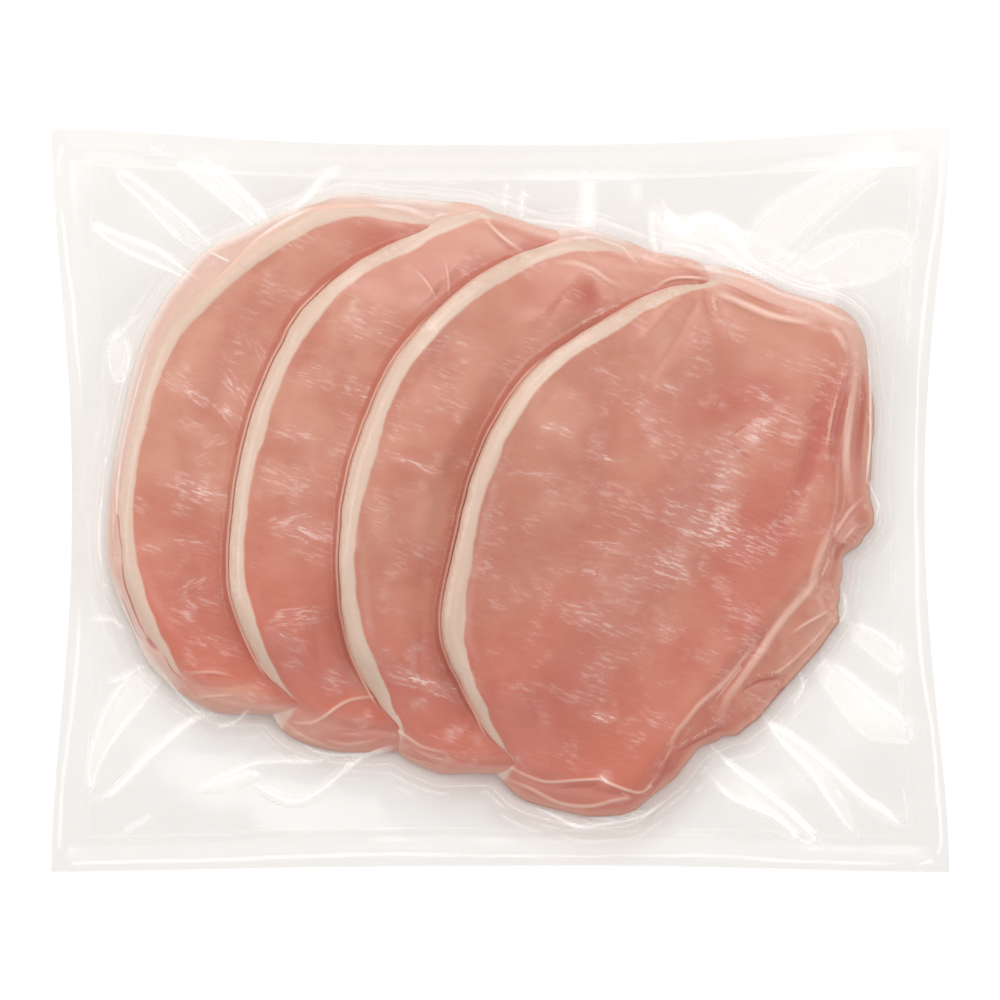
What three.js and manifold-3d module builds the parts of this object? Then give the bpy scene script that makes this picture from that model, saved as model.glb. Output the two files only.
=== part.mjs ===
// Four pork loin steaks, shingled from left to right and sealed under vacuum in a clear film bag that lies flat.
// Millimetres, +Z up. The origin is on the surface that the pack lies on, under the middle of the bag.
// The bag is shut and skin-tight, so the whole pack is one closed solid: film sheet, steaks and film folds.
import * as THREE from "three";
import { mergeVertices } from "three/addons/utils/BufferGeometryUtils.js";
import Module from "manifold-3d";

const wasm = await Module();
wasm.setup();

// The bag, laid flat: outer size, how far the middle of each side is drawn in by the vacuum, and how the drawn-in
// edge runs from corner to corner.
const PACK_WIDTH = 250;
const PACK_DEPTH = 207;
const DRAWN_IN = { left: 5.6, right: 6.6, top: 4.4, bottom: 1.6 };
const SIDE_CURVE = 2.2;
const END_CURVE = 3;

// The two plies lie together as one sheet, thicker in the heat seal round the edge. Past the meat the sheet rises a
// little off the table in slow waves.
const FILM_THICKNESS = 0.8;
const SEAL_WIDTH = 8.8;
const SEAL_THICKNESS = 1.1;
const SEAM_STEP = 0.5;
const BORDER_LIFT = 4;
const LIFT_START = 1;
const LIFT_END = 32;
const WAVE = { share: 0.25, xScale: 26, yScale: 31, xShift: 0.8 };
const SHEET_CELLS_X = 22;
const SHEET_CELLS_Y = 18;
const EVEN_SPACING = 0.4;

// One slice of loin, as cut: thickness, and its upper face about its own middle, with the fat side on the left.
// Its long axis leans SLICE_LEAN degrees from +X.
const SLICE_THICKNESS = 10.5;
const SLICE_LEAN = 65;
const SLICE_FACE = [
  [16.8, 70.1], [36.6, 62.5], [53.0, 56.4], [55.9, 40.0], [53.4, 22.9], [52.3, 4.8],
  [44.7, -13.3], [26.0, -34.5], [7.6, -57.7], [-4.4, -72.2], [-20.0, -71.0], [-37.9, -66.1],
  [-50.1, -53.0], [-58.0, -32.6], [-58.2, -16.1], [-51.8, 8.2], [-39.5, 36.5], [-23.9, 52.0], [-3.5, 64.8],
];

// The slices from the bottom of the stack to the top: middle, turn, and size along and across the long axis. skirt
// lists [bearing, width]: how far the pressed side of the slice spreads past its upper face, by bearing in degrees
// anticlockwise from +X.
const SLICES = [
  {
    x: -49.6, y: 13.2, turn: 7, length: 0.97, width: 1.02,
    skirt: [[30, 4], [56, 8], [66, 7], [78, 3], [90, 2], [104, 3.5], [120, 8], [130, 7.5], [142, 6.5], [156, 6],
      [172, 7], [199, 5.5], [222, 4.5], [236, 3], [250, 1.5], [262, 1.5], [300, 3]],
  },
  {
    x: -18.9, y: 8.4, turn: 5, length: 1, width: 1,
    skirt: [[60, 3], [80, 2.5], [120, 1.8], [200, 1.8], [225, 2.6], [236, 5], [246, 8.5], [258, 7.5], [268, 5],
      [300, 4]],
  },
  {
    x: 11.6, y: -0.2, turn: 8.5, length: 1.01, width: 1.01,
    skirt: [[60, 2], [72, 4], [82, 4], [95, 2], [200, 1.8], [228, 3], [242, 5], [256, 3], [300, 3]],
  },
  {
    x: 42.2, y: -8.8, turn: 0, length: 1, width: 1,
    skirt: [[352, 6], [358, 9], [6, 11.5], [12, 9], [22, 8.5], [32, 8], [43, 5], [58, 6], [75, 4.5], [100, 2],
      [180, 1.8], [215, 2.8], [240, 6.5], [259, 8], [272, 4.5], [285, 4], [294, 12], [304, 18], [314, 21],
      [328, 19.5], [340, 13], [346, 9]],
  },
];

// A slice's surface: points round it, rings across its face, and its side from the shoulder down. A side ring is
// [share of the skirt, share of the thickness]. The film leaves the foot of the slice in a small fillet.
const SPOKES = 60;
const FACE_RINGS = [0.3, 0.52, 0.7, 0.84];
const RIM_RING = 0.94;
const RIM_RISE = 0.6;
const SIDE_RINGS = [[0, 0.78], [0.6, 0.48], [1, 0.16]];
const FILLET = 2.6;

// How the stack settles: a slice bends down over the edge of the one below, and all are squeezed near the outer edge.
const BEND_START = -4;
const BEND_END = 17;
const SQUEEZED_SHARE = 0.35;
const SQUEEZE_REACH = 22;

// Film folds that run out from the meat: start, end, widest half-width and height. A rooted one is pinched off by the
// side of the meat and so starts at nearly its full size; the others are leaf-shaped.
const FOLDS = [
  { from: [-83, 60], to: [-113, 76], half: 1.8, height: 2.4, rooted: true },
  { from: [-79, 69], to: [-106, 91], half: 2.0, height: 2.6, rooted: true },
  { from: [-61, 75], to: [-92, 98], half: 2.4, height: 2.8, rooted: true },
  { from: [-56, 79], to: [-44, 94], half: 1.3, height: 1.6, rooted: true },
  { from: [-96, -37], to: [-111, -51], half: 1.4, height: 1.6, rooted: true },
  { from: [-95, -46], to: [-113, -76], half: 1.8, height: 2.2, rooted: true },
  { from: [-90, -47], to: [-113, -84], half: 1.6, height: 2.2, rooted: true },
  { from: [-82, -54], to: [-112, -84], half: 1.6, height: 2.6, rooted: true },
  { from: [-64, -56], to: [-82, -67], half: 1.5, height: 1.6, rooted: true },
  { from: [-28, -69], to: [-58, -86], half: 1.5, height: 2.0, rooted: true },
  { from: [54, -65], to: [88, -97], half: 2.4, height: 2.8, rooted: true },
  { from: [74, -59], to: [112, -93], half: 3.2, height: 3.0 },
  { from: [88, -44], to: [113, -68], half: 3.0, height: 3.0 },
  { from: [94, -30], to: [112, -49], half: 2.0, height: 2.2, rooted: true },
  { from: [73, 61], to: [112, 98], half: 3.6, height: 3.4 },
  { from: [82, 59], to: [116, 74], half: 3.8, height: 3.0 },
  { from: [47, 67], to: [40, 86], half: 2.0, height: 2.2, rooted: true },
  { from: [26, 73], to: [25, 91], half: 1.4, height: 1.8, rooted: true },
  { from: [7, 79], to: [6, 89], half: 1.2, height: 1.6, rooted: true },
];
const FOLD_STATIONS = 7;
const FOLD_FULLNESS = 0.7;
const ROOT_PHASE = 0.35;

// Slices and folds reach down into the sheet to this height above its underside, or this depth below its top.
const BED = 0.35;

const meat = new THREE.MeshStandardMaterial({ color: 0xd99a88, roughness: 0.25, metalness: 0 });
const { smoothstep, degToRad, radToDeg, euclideanModulo } = THREE.MathUtils;

// A value from [bearing, value] pairs, eased from one pair to the next round the circle.
function aroundCircle(pairs, bearing) {
  const n = pairs.length;
  for (let i = 0; i < n; i++) {
    const [start, low] = pairs[i];
    const [next, high] = pairs[(i + 1) % n];
    const span = euclideanModulo(next - start, 360);
    const along = euclideanModulo(bearing - start, 360);
    if (along <= span) return low + (high - low) * smoothstep(along, 0, span);
  }
  return pairs[0][1];
}

// The face outline of a slice in its place in the pack, as evenly spaced points that run anticlockwise, with outward
// normals and skirt widths, and the outline of its foot.
function placeSlice(slice) {
  const lean = degToRad(SLICE_LEAN);
  const along = new THREE.Vector2(Math.cos(lean), Math.sin(lean));
  const across = new THREE.Vector2(-along.y, along.x);
  const middle = new THREE.Vector2(slice.x, slice.y);
  const corners = SLICE_FACE.map(([x, y]) => {
    const p = new THREE.Vector2(x, y);
    const sized = new THREE.Vector2()
      .addScaledVector(along, p.dot(along) * slice.length)
      .addScaledVector(across, p.dot(across) * slice.width);
    return sized.rotateAround(new THREE.Vector2(), degToRad(slice.turn)).add(middle);
  });
  const knots = corners.map((p) => new THREE.Vector3(p.x, p.y, 0));
  const curve = new THREE.CatmullRomCurve3(knots, true, "catmullrom", 0.5);
  const spaced = curve.getSpacedPoints(SPOKES).slice(0, SPOKES).reverse();
  const outline = spaced.map((p) => new THREE.Vector2(p.x, p.y));
  const normals = outline.map((p, i) => {
    const before = outline[(i + SPOKES - 1) % SPOKES];
    const after = outline[(i + 1) % SPOKES];
    const run = after.clone().sub(before).normalize();
    return new THREE.Vector2(run.y, -run.x);
  });
  const skirts = outline.map((p) => aroundCircle(slice.skirt, radToDeg(p.clone().sub(middle).angle())));
  const foot = outline.map((p, i) => p.clone().addScaledVector(normals[i], skirts[i] + FILLET));
  return { middle, outline, normals, skirts, foot };
}

const placed = SLICES.map(placeSlice);

// How deep a point lies inside an outline: positive inside, negative outside.
function depthInside(outline, x, y) {
  let nearest = Infinity;
  let inside = false;
  outline.forEach((b, i) => {
    const a = outline[(i + outline.length - 1) % outline.length];
    const dx = b.x - a.x;
    const dy = b.y - a.y;
    const t = Math.min(Math.max(((x - a.x) * dx + (y - a.y) * dy) / (dx * dx + dy * dy), 0), 1);
    nearest = Math.min(nearest, Math.hypot(x - a.x - t * dx, y - a.y - t * dy));
    if (a.y > y !== b.y > y && x < a.x + ((y - a.y) / dy) * dx) inside = !inside;
  });
  return inside ? nearest : -nearest;
}

// The height of what slice number k rests on. Every slice below adds its thickness, eased over its own edge, and the
// film squeezes the stack near its outer edge.
function restingHeight(k, x, y) {
  const depths = placed.map((s) => depthInside(s.outline, x, y));
  const layers = depths.slice(0, k).reduce((sum, d) => sum + smoothstep(d, BEND_START, BEND_END), 0);
  const inner = smoothstep(Math.max(...depths), 0, SQUEEZE_REACH);
  return SLICE_THICKNESS * layers * (SQUEEZED_SHARE + (1 - SQUEEZED_SHARE) * inner);
}

// A closed solid through rings of points, with a tip before the first ring and one after the last.
function loftedSolid(rings, firstTip, lastTip) {
  const count = rings[0].length;
  const points = [firstTip, ...rings.flat(), lastTip];
  const at = (ring, i) => 1 + ring * count + (i % count);
  const faces = [];
  for (let i = 0; i < count; i++) {
    faces.push(0, at(0, i), at(0, i + 1));
    for (let r = 0; r + 1 < rings.length; r++) {
      faces.push(at(r, i), at(r + 1, i), at(r + 1, i + 1));
      faces.push(at(r, i), at(r + 1, i + 1), at(r, i + 1));
    }
    faces.push(at(rings.length - 1, i + 1), at(rings.length - 1, i), points.length - 1);
  }
  return new THREE.BufferGeometry().setFromPoints(points).setIndex(faces);
}

// A slice as a column of the stack: its upper face with the rim of fat standing a little proud, its rounded shoulder
// and pressed side, and the film's fillet, carried down into the sheet.
function sliceColumn(k) {
  const { middle, outline, normals, skirts } = placed[k];
  const face = (x, y) => restingHeight(k, x, y) + SLICE_THICKNESS;
  const faceRing = (share, rise) => outline.map((p) => {
    const q = middle.clone().lerp(p, share);
    return new THREE.Vector3(q.x, q.y, face(q.x, q.y) + rise);
  });
  const sideRing = (spread, extra, share) => outline.map((p, i) => {
    const q = p.clone().addScaledVector(normals[i], skirts[i] * spread + extra);
    const z = restingHeight(k, q.x, q.y) + SLICE_THICKNESS * share;
    return new THREE.Vector3(q.x, q.y, Math.max(z, 2 * BED));
  });
  const foot = sideRing(1, FILLET, 0);
  const rings = [
    ...FACE_RINGS.map((share) => faceRing(share, 0)),
    faceRing(RIM_RING, RIM_RISE),
    ...SIDE_RINGS.map(([spread, share]) => sideRing(spread, 0, share)),
    foot,
    foot.map((p) => new THREE.Vector3(p.x, p.y, BED)),
  ];
  const top = new THREE.Vector3(middle.x, middle.y, face(middle.x, middle.y));
  return loftedSolid(rings, top, new THREE.Vector3(middle.x, middle.y, BED));
}

// How far the film's edge is drawn in at v, from -1 at one corner to 1 at the next.
const drawIn = (depth, power, v) => depth * (1 - Math.abs(v) ** power) ** 2;

// A point of the sheet from u and v, each from -1 to 1 across the bag.
function sheetPoint(u, v) {
  const sideways = u < 0 ? DRAWN_IN.left : DRAWN_IN.right;
  const endways = v < 0 ? DRAWN_IN.bottom : DRAWN_IN.top;
  return new THREE.Vector2(
    u * (PACK_WIDTH / 2 - drawIn(sideways, SIDE_CURVE, v)),
    v * (PACK_DEPTH / 2 - drawIn(endways, END_CURVE, u)),
  );
}

// How far the sheet's underside stands off the table.
function borderLift(x, y) {
  const away = -Math.max(...placed.map((s) => depthInside(s.foot, x, y)));
  const ripple = Math.sin(x / WAVE.xScale + WAVE.xShift) * Math.cos(y / WAVE.yScale);
  return BORDER_LIFT * (1 - WAVE.share + WAVE.share * ripple) * smoothstep(away, LIFT_START, LIFT_END);
}

// Lines of the sheet's grid from -1 to 1, closer towards its edges, with two close ones at the inner edge of each seal.
function gridLines(cells, half) {
  const seal = SEAL_WIDTH / half;
  const inner = 1 - seal - SEAM_STEP / half;
  const lines = [-1, -1 + seal];
  for (let i = 0; i <= cells; i++) {
    const t = (2 * i) / cells - 1;
    lines.push(inner * (EVEN_SPACING * t + (1 - EVEN_SPACING) * Math.sin((Math.PI / 2) * t)));
  }
  return [...lines, 1 - seal, 1];
}

// The two plies of film as one thin closed sheet.
function filmSheet() {
  const us = gridLines(SHEET_CELLS_X, PACK_WIDTH / 2);
  const vs = gridLines(SHEET_CELLS_Y, PACK_DEPTH / 2);
  const sealed = (lines, i) => i <= 1 || i >= lines.length - 2;
  const points = [];
  for (const side of [0, 1]) {
    vs.forEach((v, j) => us.forEach((u, i) => {
      const p = sheetPoint(u, v);
      const thickness = sealed(us, i) || sealed(vs, j) ? SEAL_THICKNESS : FILM_THICKNESS;
      points.push(new THREE.Vector3(p.x, p.y, borderLift(p.x, p.y) + side * thickness));
    }));
  }
  const wide = us.length;
  const layer = wide * vs.length;
  const at = (side, i, j) => side * layer + j * wide + i;
  const faces = [];
  for (let j = 0; j + 1 < vs.length; j++) {
    for (let i = 0; i + 1 < wide; i++) {
      faces.push(at(1, i, j), at(1, i + 1, j), at(1, i + 1, j + 1));
      faces.push(at(1, i, j), at(1, i + 1, j + 1), at(1, i, j + 1));
      faces.push(at(0, i, j), at(0, i + 1, j + 1), at(0, i + 1, j));
      faces.push(at(0, i, j), at(0, i, j + 1), at(0, i + 1, j + 1));
    }
  }
  const rim = [];
  for (let i = 0; i + 1 < wide; i++) rim.push([i, 0]);
  for (let j = 0; j + 1 < vs.length; j++) rim.push([wide - 1, j]);
  for (let i = wide - 1; i > 0; i--) rim.push([i, vs.length - 1]);
  for (let j = vs.length - 1; j > 0; j--) rim.push([0, j]);
  rim.forEach(([i, j], n) => {
    const [p, q] = rim[(n + 1) % rim.length];
    faces.push(at(0, i, j), at(0, p, q), at(1, p, q));
    faces.push(at(0, i, j), at(1, p, q), at(1, i, j));
  });
  return new THREE.BufferGeometry().setFromPoints(points).setIndex(faces);
}

// A pinched fold of film: a low ridge that stands on the sheet and tapers to its outer end. A point of its section is
// [sideways share of the half-width, height share], and its two feet are bedded in the sheet.
function filmFold({ from, to, half, height, rooted }) {
  const start = new THREE.Vector2(...from);
  const end = new THREE.Vector2(...to);
  const run = end.clone().sub(start);
  const across = new THREE.Vector2(-run.y, run.x).normalize();
  const sheetTop = (p) => borderLift(p.x, p.y) + FILM_THICKNESS;
  const tip = (p) => new THREE.Vector3(p.x, p.y, sheetTop(p) - BED);
  const section = [[-1, 0], [-0.55, 0.7], [0, 1], [0.55, 0.7], [1, 0]];
  const phase = rooted ? ROOT_PHASE : 0;
  const rings = [];
  for (let i = 1; i <= FOLD_STATIONS; i++) {
    const s = i / (FOLD_STATIONS + 1);
    const swell = Math.sin(Math.PI * (phase + (1 - phase) * s)) ** FOLD_FULLNESS;
    rings.push(section.map(([side, rise]) => {
      const p = start.clone().addScaledVector(run, s).addScaledVector(across, side * half * swell);
      const up = rise > 0 ? rise * height * swell : -BED;
      return new THREE.Vector3(p.x, p.y, sheetTop(p) + up);
    }));
  }
  return loftedSolid(rings, tip(start), tip(end));
}

// A closed geometry as a solid that can be joined to others.
function toSolid(geometry) {
  const merged = mergeVertices(geometry, 1e-4);
  const vertProperties = merged.attributes.position.array;
  const triVerts = new Uint32Array(merged.index.array);
  return new wasm.Manifold(new wasm.Mesh({ numProp: 3, vertProperties, triVerts }));
}

// A joined solid as a geometry again. Its vertices have positions only, so three numbers each.
function toGeometry(solid) {
  const { vertProperties, triVerts } = solid.getMesh();
  const geometry = new THREE.BufferGeometry();
  geometry.setAttribute("position", new THREE.BufferAttribute(vertProperties, 3));
  geometry.setIndex(new THREE.BufferAttribute(triVerts, 1));
  geometry.computeVertexNormals();
  return geometry;
}

let joined = toSolid(filmSheet());
SLICES.forEach((slice, k) => {
  joined = joined.add(toSolid(sliceColumn(k)));
});
FOLDS.forEach((fold) => {
  joined = joined.add(toSolid(filmFold(fold)));
});

const pack = new THREE.Mesh(toGeometry(joined), meat);
pack.name = "vacuum_pack";

const part = new THREE.Group();
part.add(pack);

export default part;
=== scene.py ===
import math

import bmesh
import bpy
import numpy as np
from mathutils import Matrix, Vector, noise
from mathutils.bvhtree import BVHTree


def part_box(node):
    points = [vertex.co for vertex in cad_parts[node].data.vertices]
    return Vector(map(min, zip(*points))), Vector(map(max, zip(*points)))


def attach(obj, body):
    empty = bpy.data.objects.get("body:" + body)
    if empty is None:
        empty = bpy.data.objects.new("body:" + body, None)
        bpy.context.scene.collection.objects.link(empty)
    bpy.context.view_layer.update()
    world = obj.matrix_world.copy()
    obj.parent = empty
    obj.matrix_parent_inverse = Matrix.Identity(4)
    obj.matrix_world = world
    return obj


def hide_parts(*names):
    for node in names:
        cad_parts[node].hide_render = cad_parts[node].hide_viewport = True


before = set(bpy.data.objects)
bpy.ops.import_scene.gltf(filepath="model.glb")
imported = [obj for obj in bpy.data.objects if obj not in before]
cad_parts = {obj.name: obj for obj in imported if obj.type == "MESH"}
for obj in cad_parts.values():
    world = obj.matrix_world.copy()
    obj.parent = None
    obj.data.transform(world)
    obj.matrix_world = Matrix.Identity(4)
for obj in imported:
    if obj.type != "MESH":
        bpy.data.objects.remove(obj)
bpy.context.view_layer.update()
mm = 0.001

# How lines are traced: steps to a spline's span, points along a crease or a fold, points tested at once,
# how far from its path a line reaches, and the distance given where there is no line.
trace = {"spanSteps": 32, "creasePoints": 60, "foldPoints": 70, "batch": 4096, "reach": 4, "nowhere": 9.0}


def smoothStep(value, low, high):
    share = np.clip((value - low) / (high - low), 0, 1)
    return share * share * (3 - 2 * share)


def bump(value, half):  # 1 in the middle, 0 from half outwards
    share = np.clip(np.abs(value) / half, 0, 1)
    return (1 - share * share) ** 2


def aroundCircle(pairs, bearing):  # a value from [bearing, value] pairs, eased from one pair to the next
    start = pairs[0][0]
    stops = np.array([(b - start) % 360 for b, _ in pairs] + [360], float)
    values = np.array([v for _, v in pairs] + [pairs[0][1]], float)
    away = (np.asarray(bearing) - start) % 360
    i = np.clip(np.searchsorted(stops, away, side="right") - 1, 0, len(pairs) - 1)
    return values[i] + (values[i + 1] - values[i]) * smoothStep(away, stops[i], stops[i + 1])


def splinePoint(a, b, c, d, t):  # Catmull-Rom from b to c
    bend = 2 * a - 5 * b + 4 * c - d
    return 0.5 * (2 * b + (c - a) * t + bend * t ** 2 + (3 * b - a - 3 * c + d) * t ** 3)


def evenPoints(points, count, closed):  # spaced evenly along the curve through the points
    points = np.array(points, float)
    n = len(points)
    if closed:
        ends = [(points[i - 1], points[i], points[(i + 1) % n], points[(i + 2) % n]) for i in range(n)]
    else:
        first = 2 * points[0] - points[1]
        last = 2 * points[-1] - points[-2]
        padded = np.vstack([first, points, last])
        ends = [padded[i:i + 4] for i in range(n - 1)]
    steps = np.linspace(0, 1, trace["spanSteps"] + 1)[:-1]
    fine = [splinePoint(*four, t) for four in ends for t in steps]
    fine = np.array(fine + [fine[0] if closed else points[-1]])
    run = np.concatenate([[0], np.cumsum(np.hypot(*np.diff(fine, axis=0).T))])
    wanted = np.linspace(0, run[-1], count + 1)[:-1] if closed else np.linspace(0, run[-1], count)
    return np.column_stack([np.interp(wanted, run, fine[:, axis]) for axis in (0, 1)])


def nearestOnPath(path, x, y, closed=False):  # distance to the path, and how far along it from 0 to 1
    path = np.vstack([path, path[:1]]) if closed else path
    a = path[:-1]
    step = path[1:] - a
    length = np.hypot(*step.T)
    start = np.concatenate([[0], np.cumsum(length)])
    away = np.empty(len(x))
    along = np.empty(len(x))
    for low in range(0, len(x), trace["batch"]):
        part = slice(low, low + trace["batch"])
        px = x[part, None] - a[:, 0]
        py = y[part, None] - a[:, 1]
        t = np.clip((px * step[:, 0] + py * step[:, 1]) / length ** 2, 0, 1)
        gap = np.hypot(px - t * step[:, 0], py - t * step[:, 1])
        i = gap.argmin(1)
        row = np.arange(len(i))
        away[part] = gap[row, i]
        along[part] = (start[i] + t[row, i] * length[i]) / start[-1]
    return away, along


def insideOutline(outline, x, y):
    inside = np.zeros(len(x), bool)
    for a, b in zip(outline, np.roll(outline, -1, 0)):
        if a[1] != b[1]:
            crosses = (a[1] > y) != (b[1] > y)
            inside ^= crosses & (x < a[0] + (y - a[1]) / (b[1] - a[1]) * (b[0] - a[0]))
    return inside


def depthInside(outline, x, y):  # positive inside, negative outside
    away, _ = nearestOnPath(outline, x, y, closed=True)
    return np.where(insideOutline(outline, x, y), away, -away)


def sideOfPath(path, x, y):  # signed distance to an open path, positive on its left, and how far along it
    away, along = nearestOnPath(path, x, y)
    spot = np.clip((along * (len(path) - 1)).astype(int), 0, len(path) - 2)
    step = path[spot + 1] - path[spot]
    left = step[:, 0] * (y - path[spot, 1]) - step[:, 1] * (x - path[spot, 0]) > 0
    return np.where(left, away, -away), along


def nearPath(path, x, y):  # which points lie in or close to the path's box
    reach = trace["reach"]
    near = (x > path[:, 0].min() - reach) & (x < path[:, 0].max() + reach)
    near &= (y > path[:, 1].min() - reach) & (y < path[:, 1].max() + reach)
    return np.nonzero(near)[0]


def noLines(count):  # height, signed distance, half-width and tone, where no line runs
    return np.zeros(count), np.full(count, trace["nowhere"]), np.ones(count), np.zeros(count)


def traceLines(lines, x, y):  # height, and for the line that shows: signed distance, half-width and tone
    height, off, half, tone = noLines(len(x))
    for line in lines:
        path = evenPoints(line["path"], trace["creasePoints"], closed=False)
        near = nearPath(path, x, y)
        if len(near) == 0:
            continue
        away, along = sideOfPath(path, x[near], y[near])
        taper = np.sin(math.pi * np.clip(along, steak["lineTip"], 1 - steak["lineTip"])) ** 0.5
        wide = max(steak["lineSpread"] * line["half"], steak["lineLeast"])
        height[near] += line["height"] * taper * bump(away, wide)
        outside = np.abs(away) - line["half"]
        shows = line["tone"] * taper * (1 - smoothStep(outside, *steak["lineFade"]))
        more = np.abs(shows) > np.abs(tone[near])
        place = near[more]
        off[place] = away[more]
        half[place] = line["half"]
        tone[place] = shows[more]
    return height, off, half, tone


def readVertices(piece):
    co = np.empty(len(piece.data.vertices) * 3)
    piece.data.vertices.foreach_get("co", co)
    return co.reshape(-1, 3)


def writeVertices(piece, co):
    piece.data.vertices.foreach_set("co", np.ascontiguousarray(co).ravel())
    piece.data.update()


def writeAttribute(piece, name, values):
    layer = piece.data.attributes.new(name, "FLOAT", "POINT")
    layer.data.foreach_set("value", np.asarray(values, np.float32))


def roughness(x, y, size, seed, octaves=2):  # smooth noise, about -1 to 1
    places = [Vector((a / size, b / size, seed)) for a, b in zip(x, y)]
    return np.array([noise.fractal(place, 1.0, 2.0, octaves) for place in places])


def crease(half, height, tone, *path):  # a line on a steak, sunk with a height and darker with a tone below 0, where the dark is painted shade in the crease; with a tone above 0 it is paler, partly pale tissue and partly a painted highlight along the ridge
    return {"half": half, "height": height, "tone": tone, "path": path}


def fold(half, tone, fill, *path):  # a line on the film, white partly as a crease and partly as a painted highlight, and how milky the leaf is that it runs round
    return {"half": half, "tone": tone, "fill": fill, "path": path}


# The stack. A slice is a loin cut with its fat on the left. Its long axis leans from +X by "lean" degrees.
# For each slice: middle, turn, size along and across the long axis, and the bearing where its rim of fat
# starts to stand proud. Then by bearing, in degrees anticlockwise from +X: how far its edge is dented,
# how far its pressed side spreads past its upper face, how pale its edge is and how wide its rim of fat is.
stack = {
    "thickness": 10.5,
    "lean": 65,
    "face": [
        [16.8, 70.1], [36.6, 62.5], [53.0, 56.4], [55.9, 40.0], [53.4, 22.9], [52.3, 4.8],
        [44.7, -13.3], [26.0, -34.5], [7.6, -57.7], [-4.4, -72.2], [-20.0, -71.0], [-37.9, -66.1],
        [-50.1, -53.0], [-58.0, -32.6], [-58.2, -16.1], [-51.8, 8.2], [-39.5, 36.5], [-23.9, 52.0],
        [-3.5, 64.8],
    ],
    "spokes": 540,
    "gaugeStep": 3,
    "bendStart": -10,
    "bendEnd": 27,
    "squeezedShare": 0.35,
    "squeezeReach": 22,
    "fillet": 2.6,
    "halfLength": 72,
    "rimStart": 26,
    "rimEnd": (224, 240),
}
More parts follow.
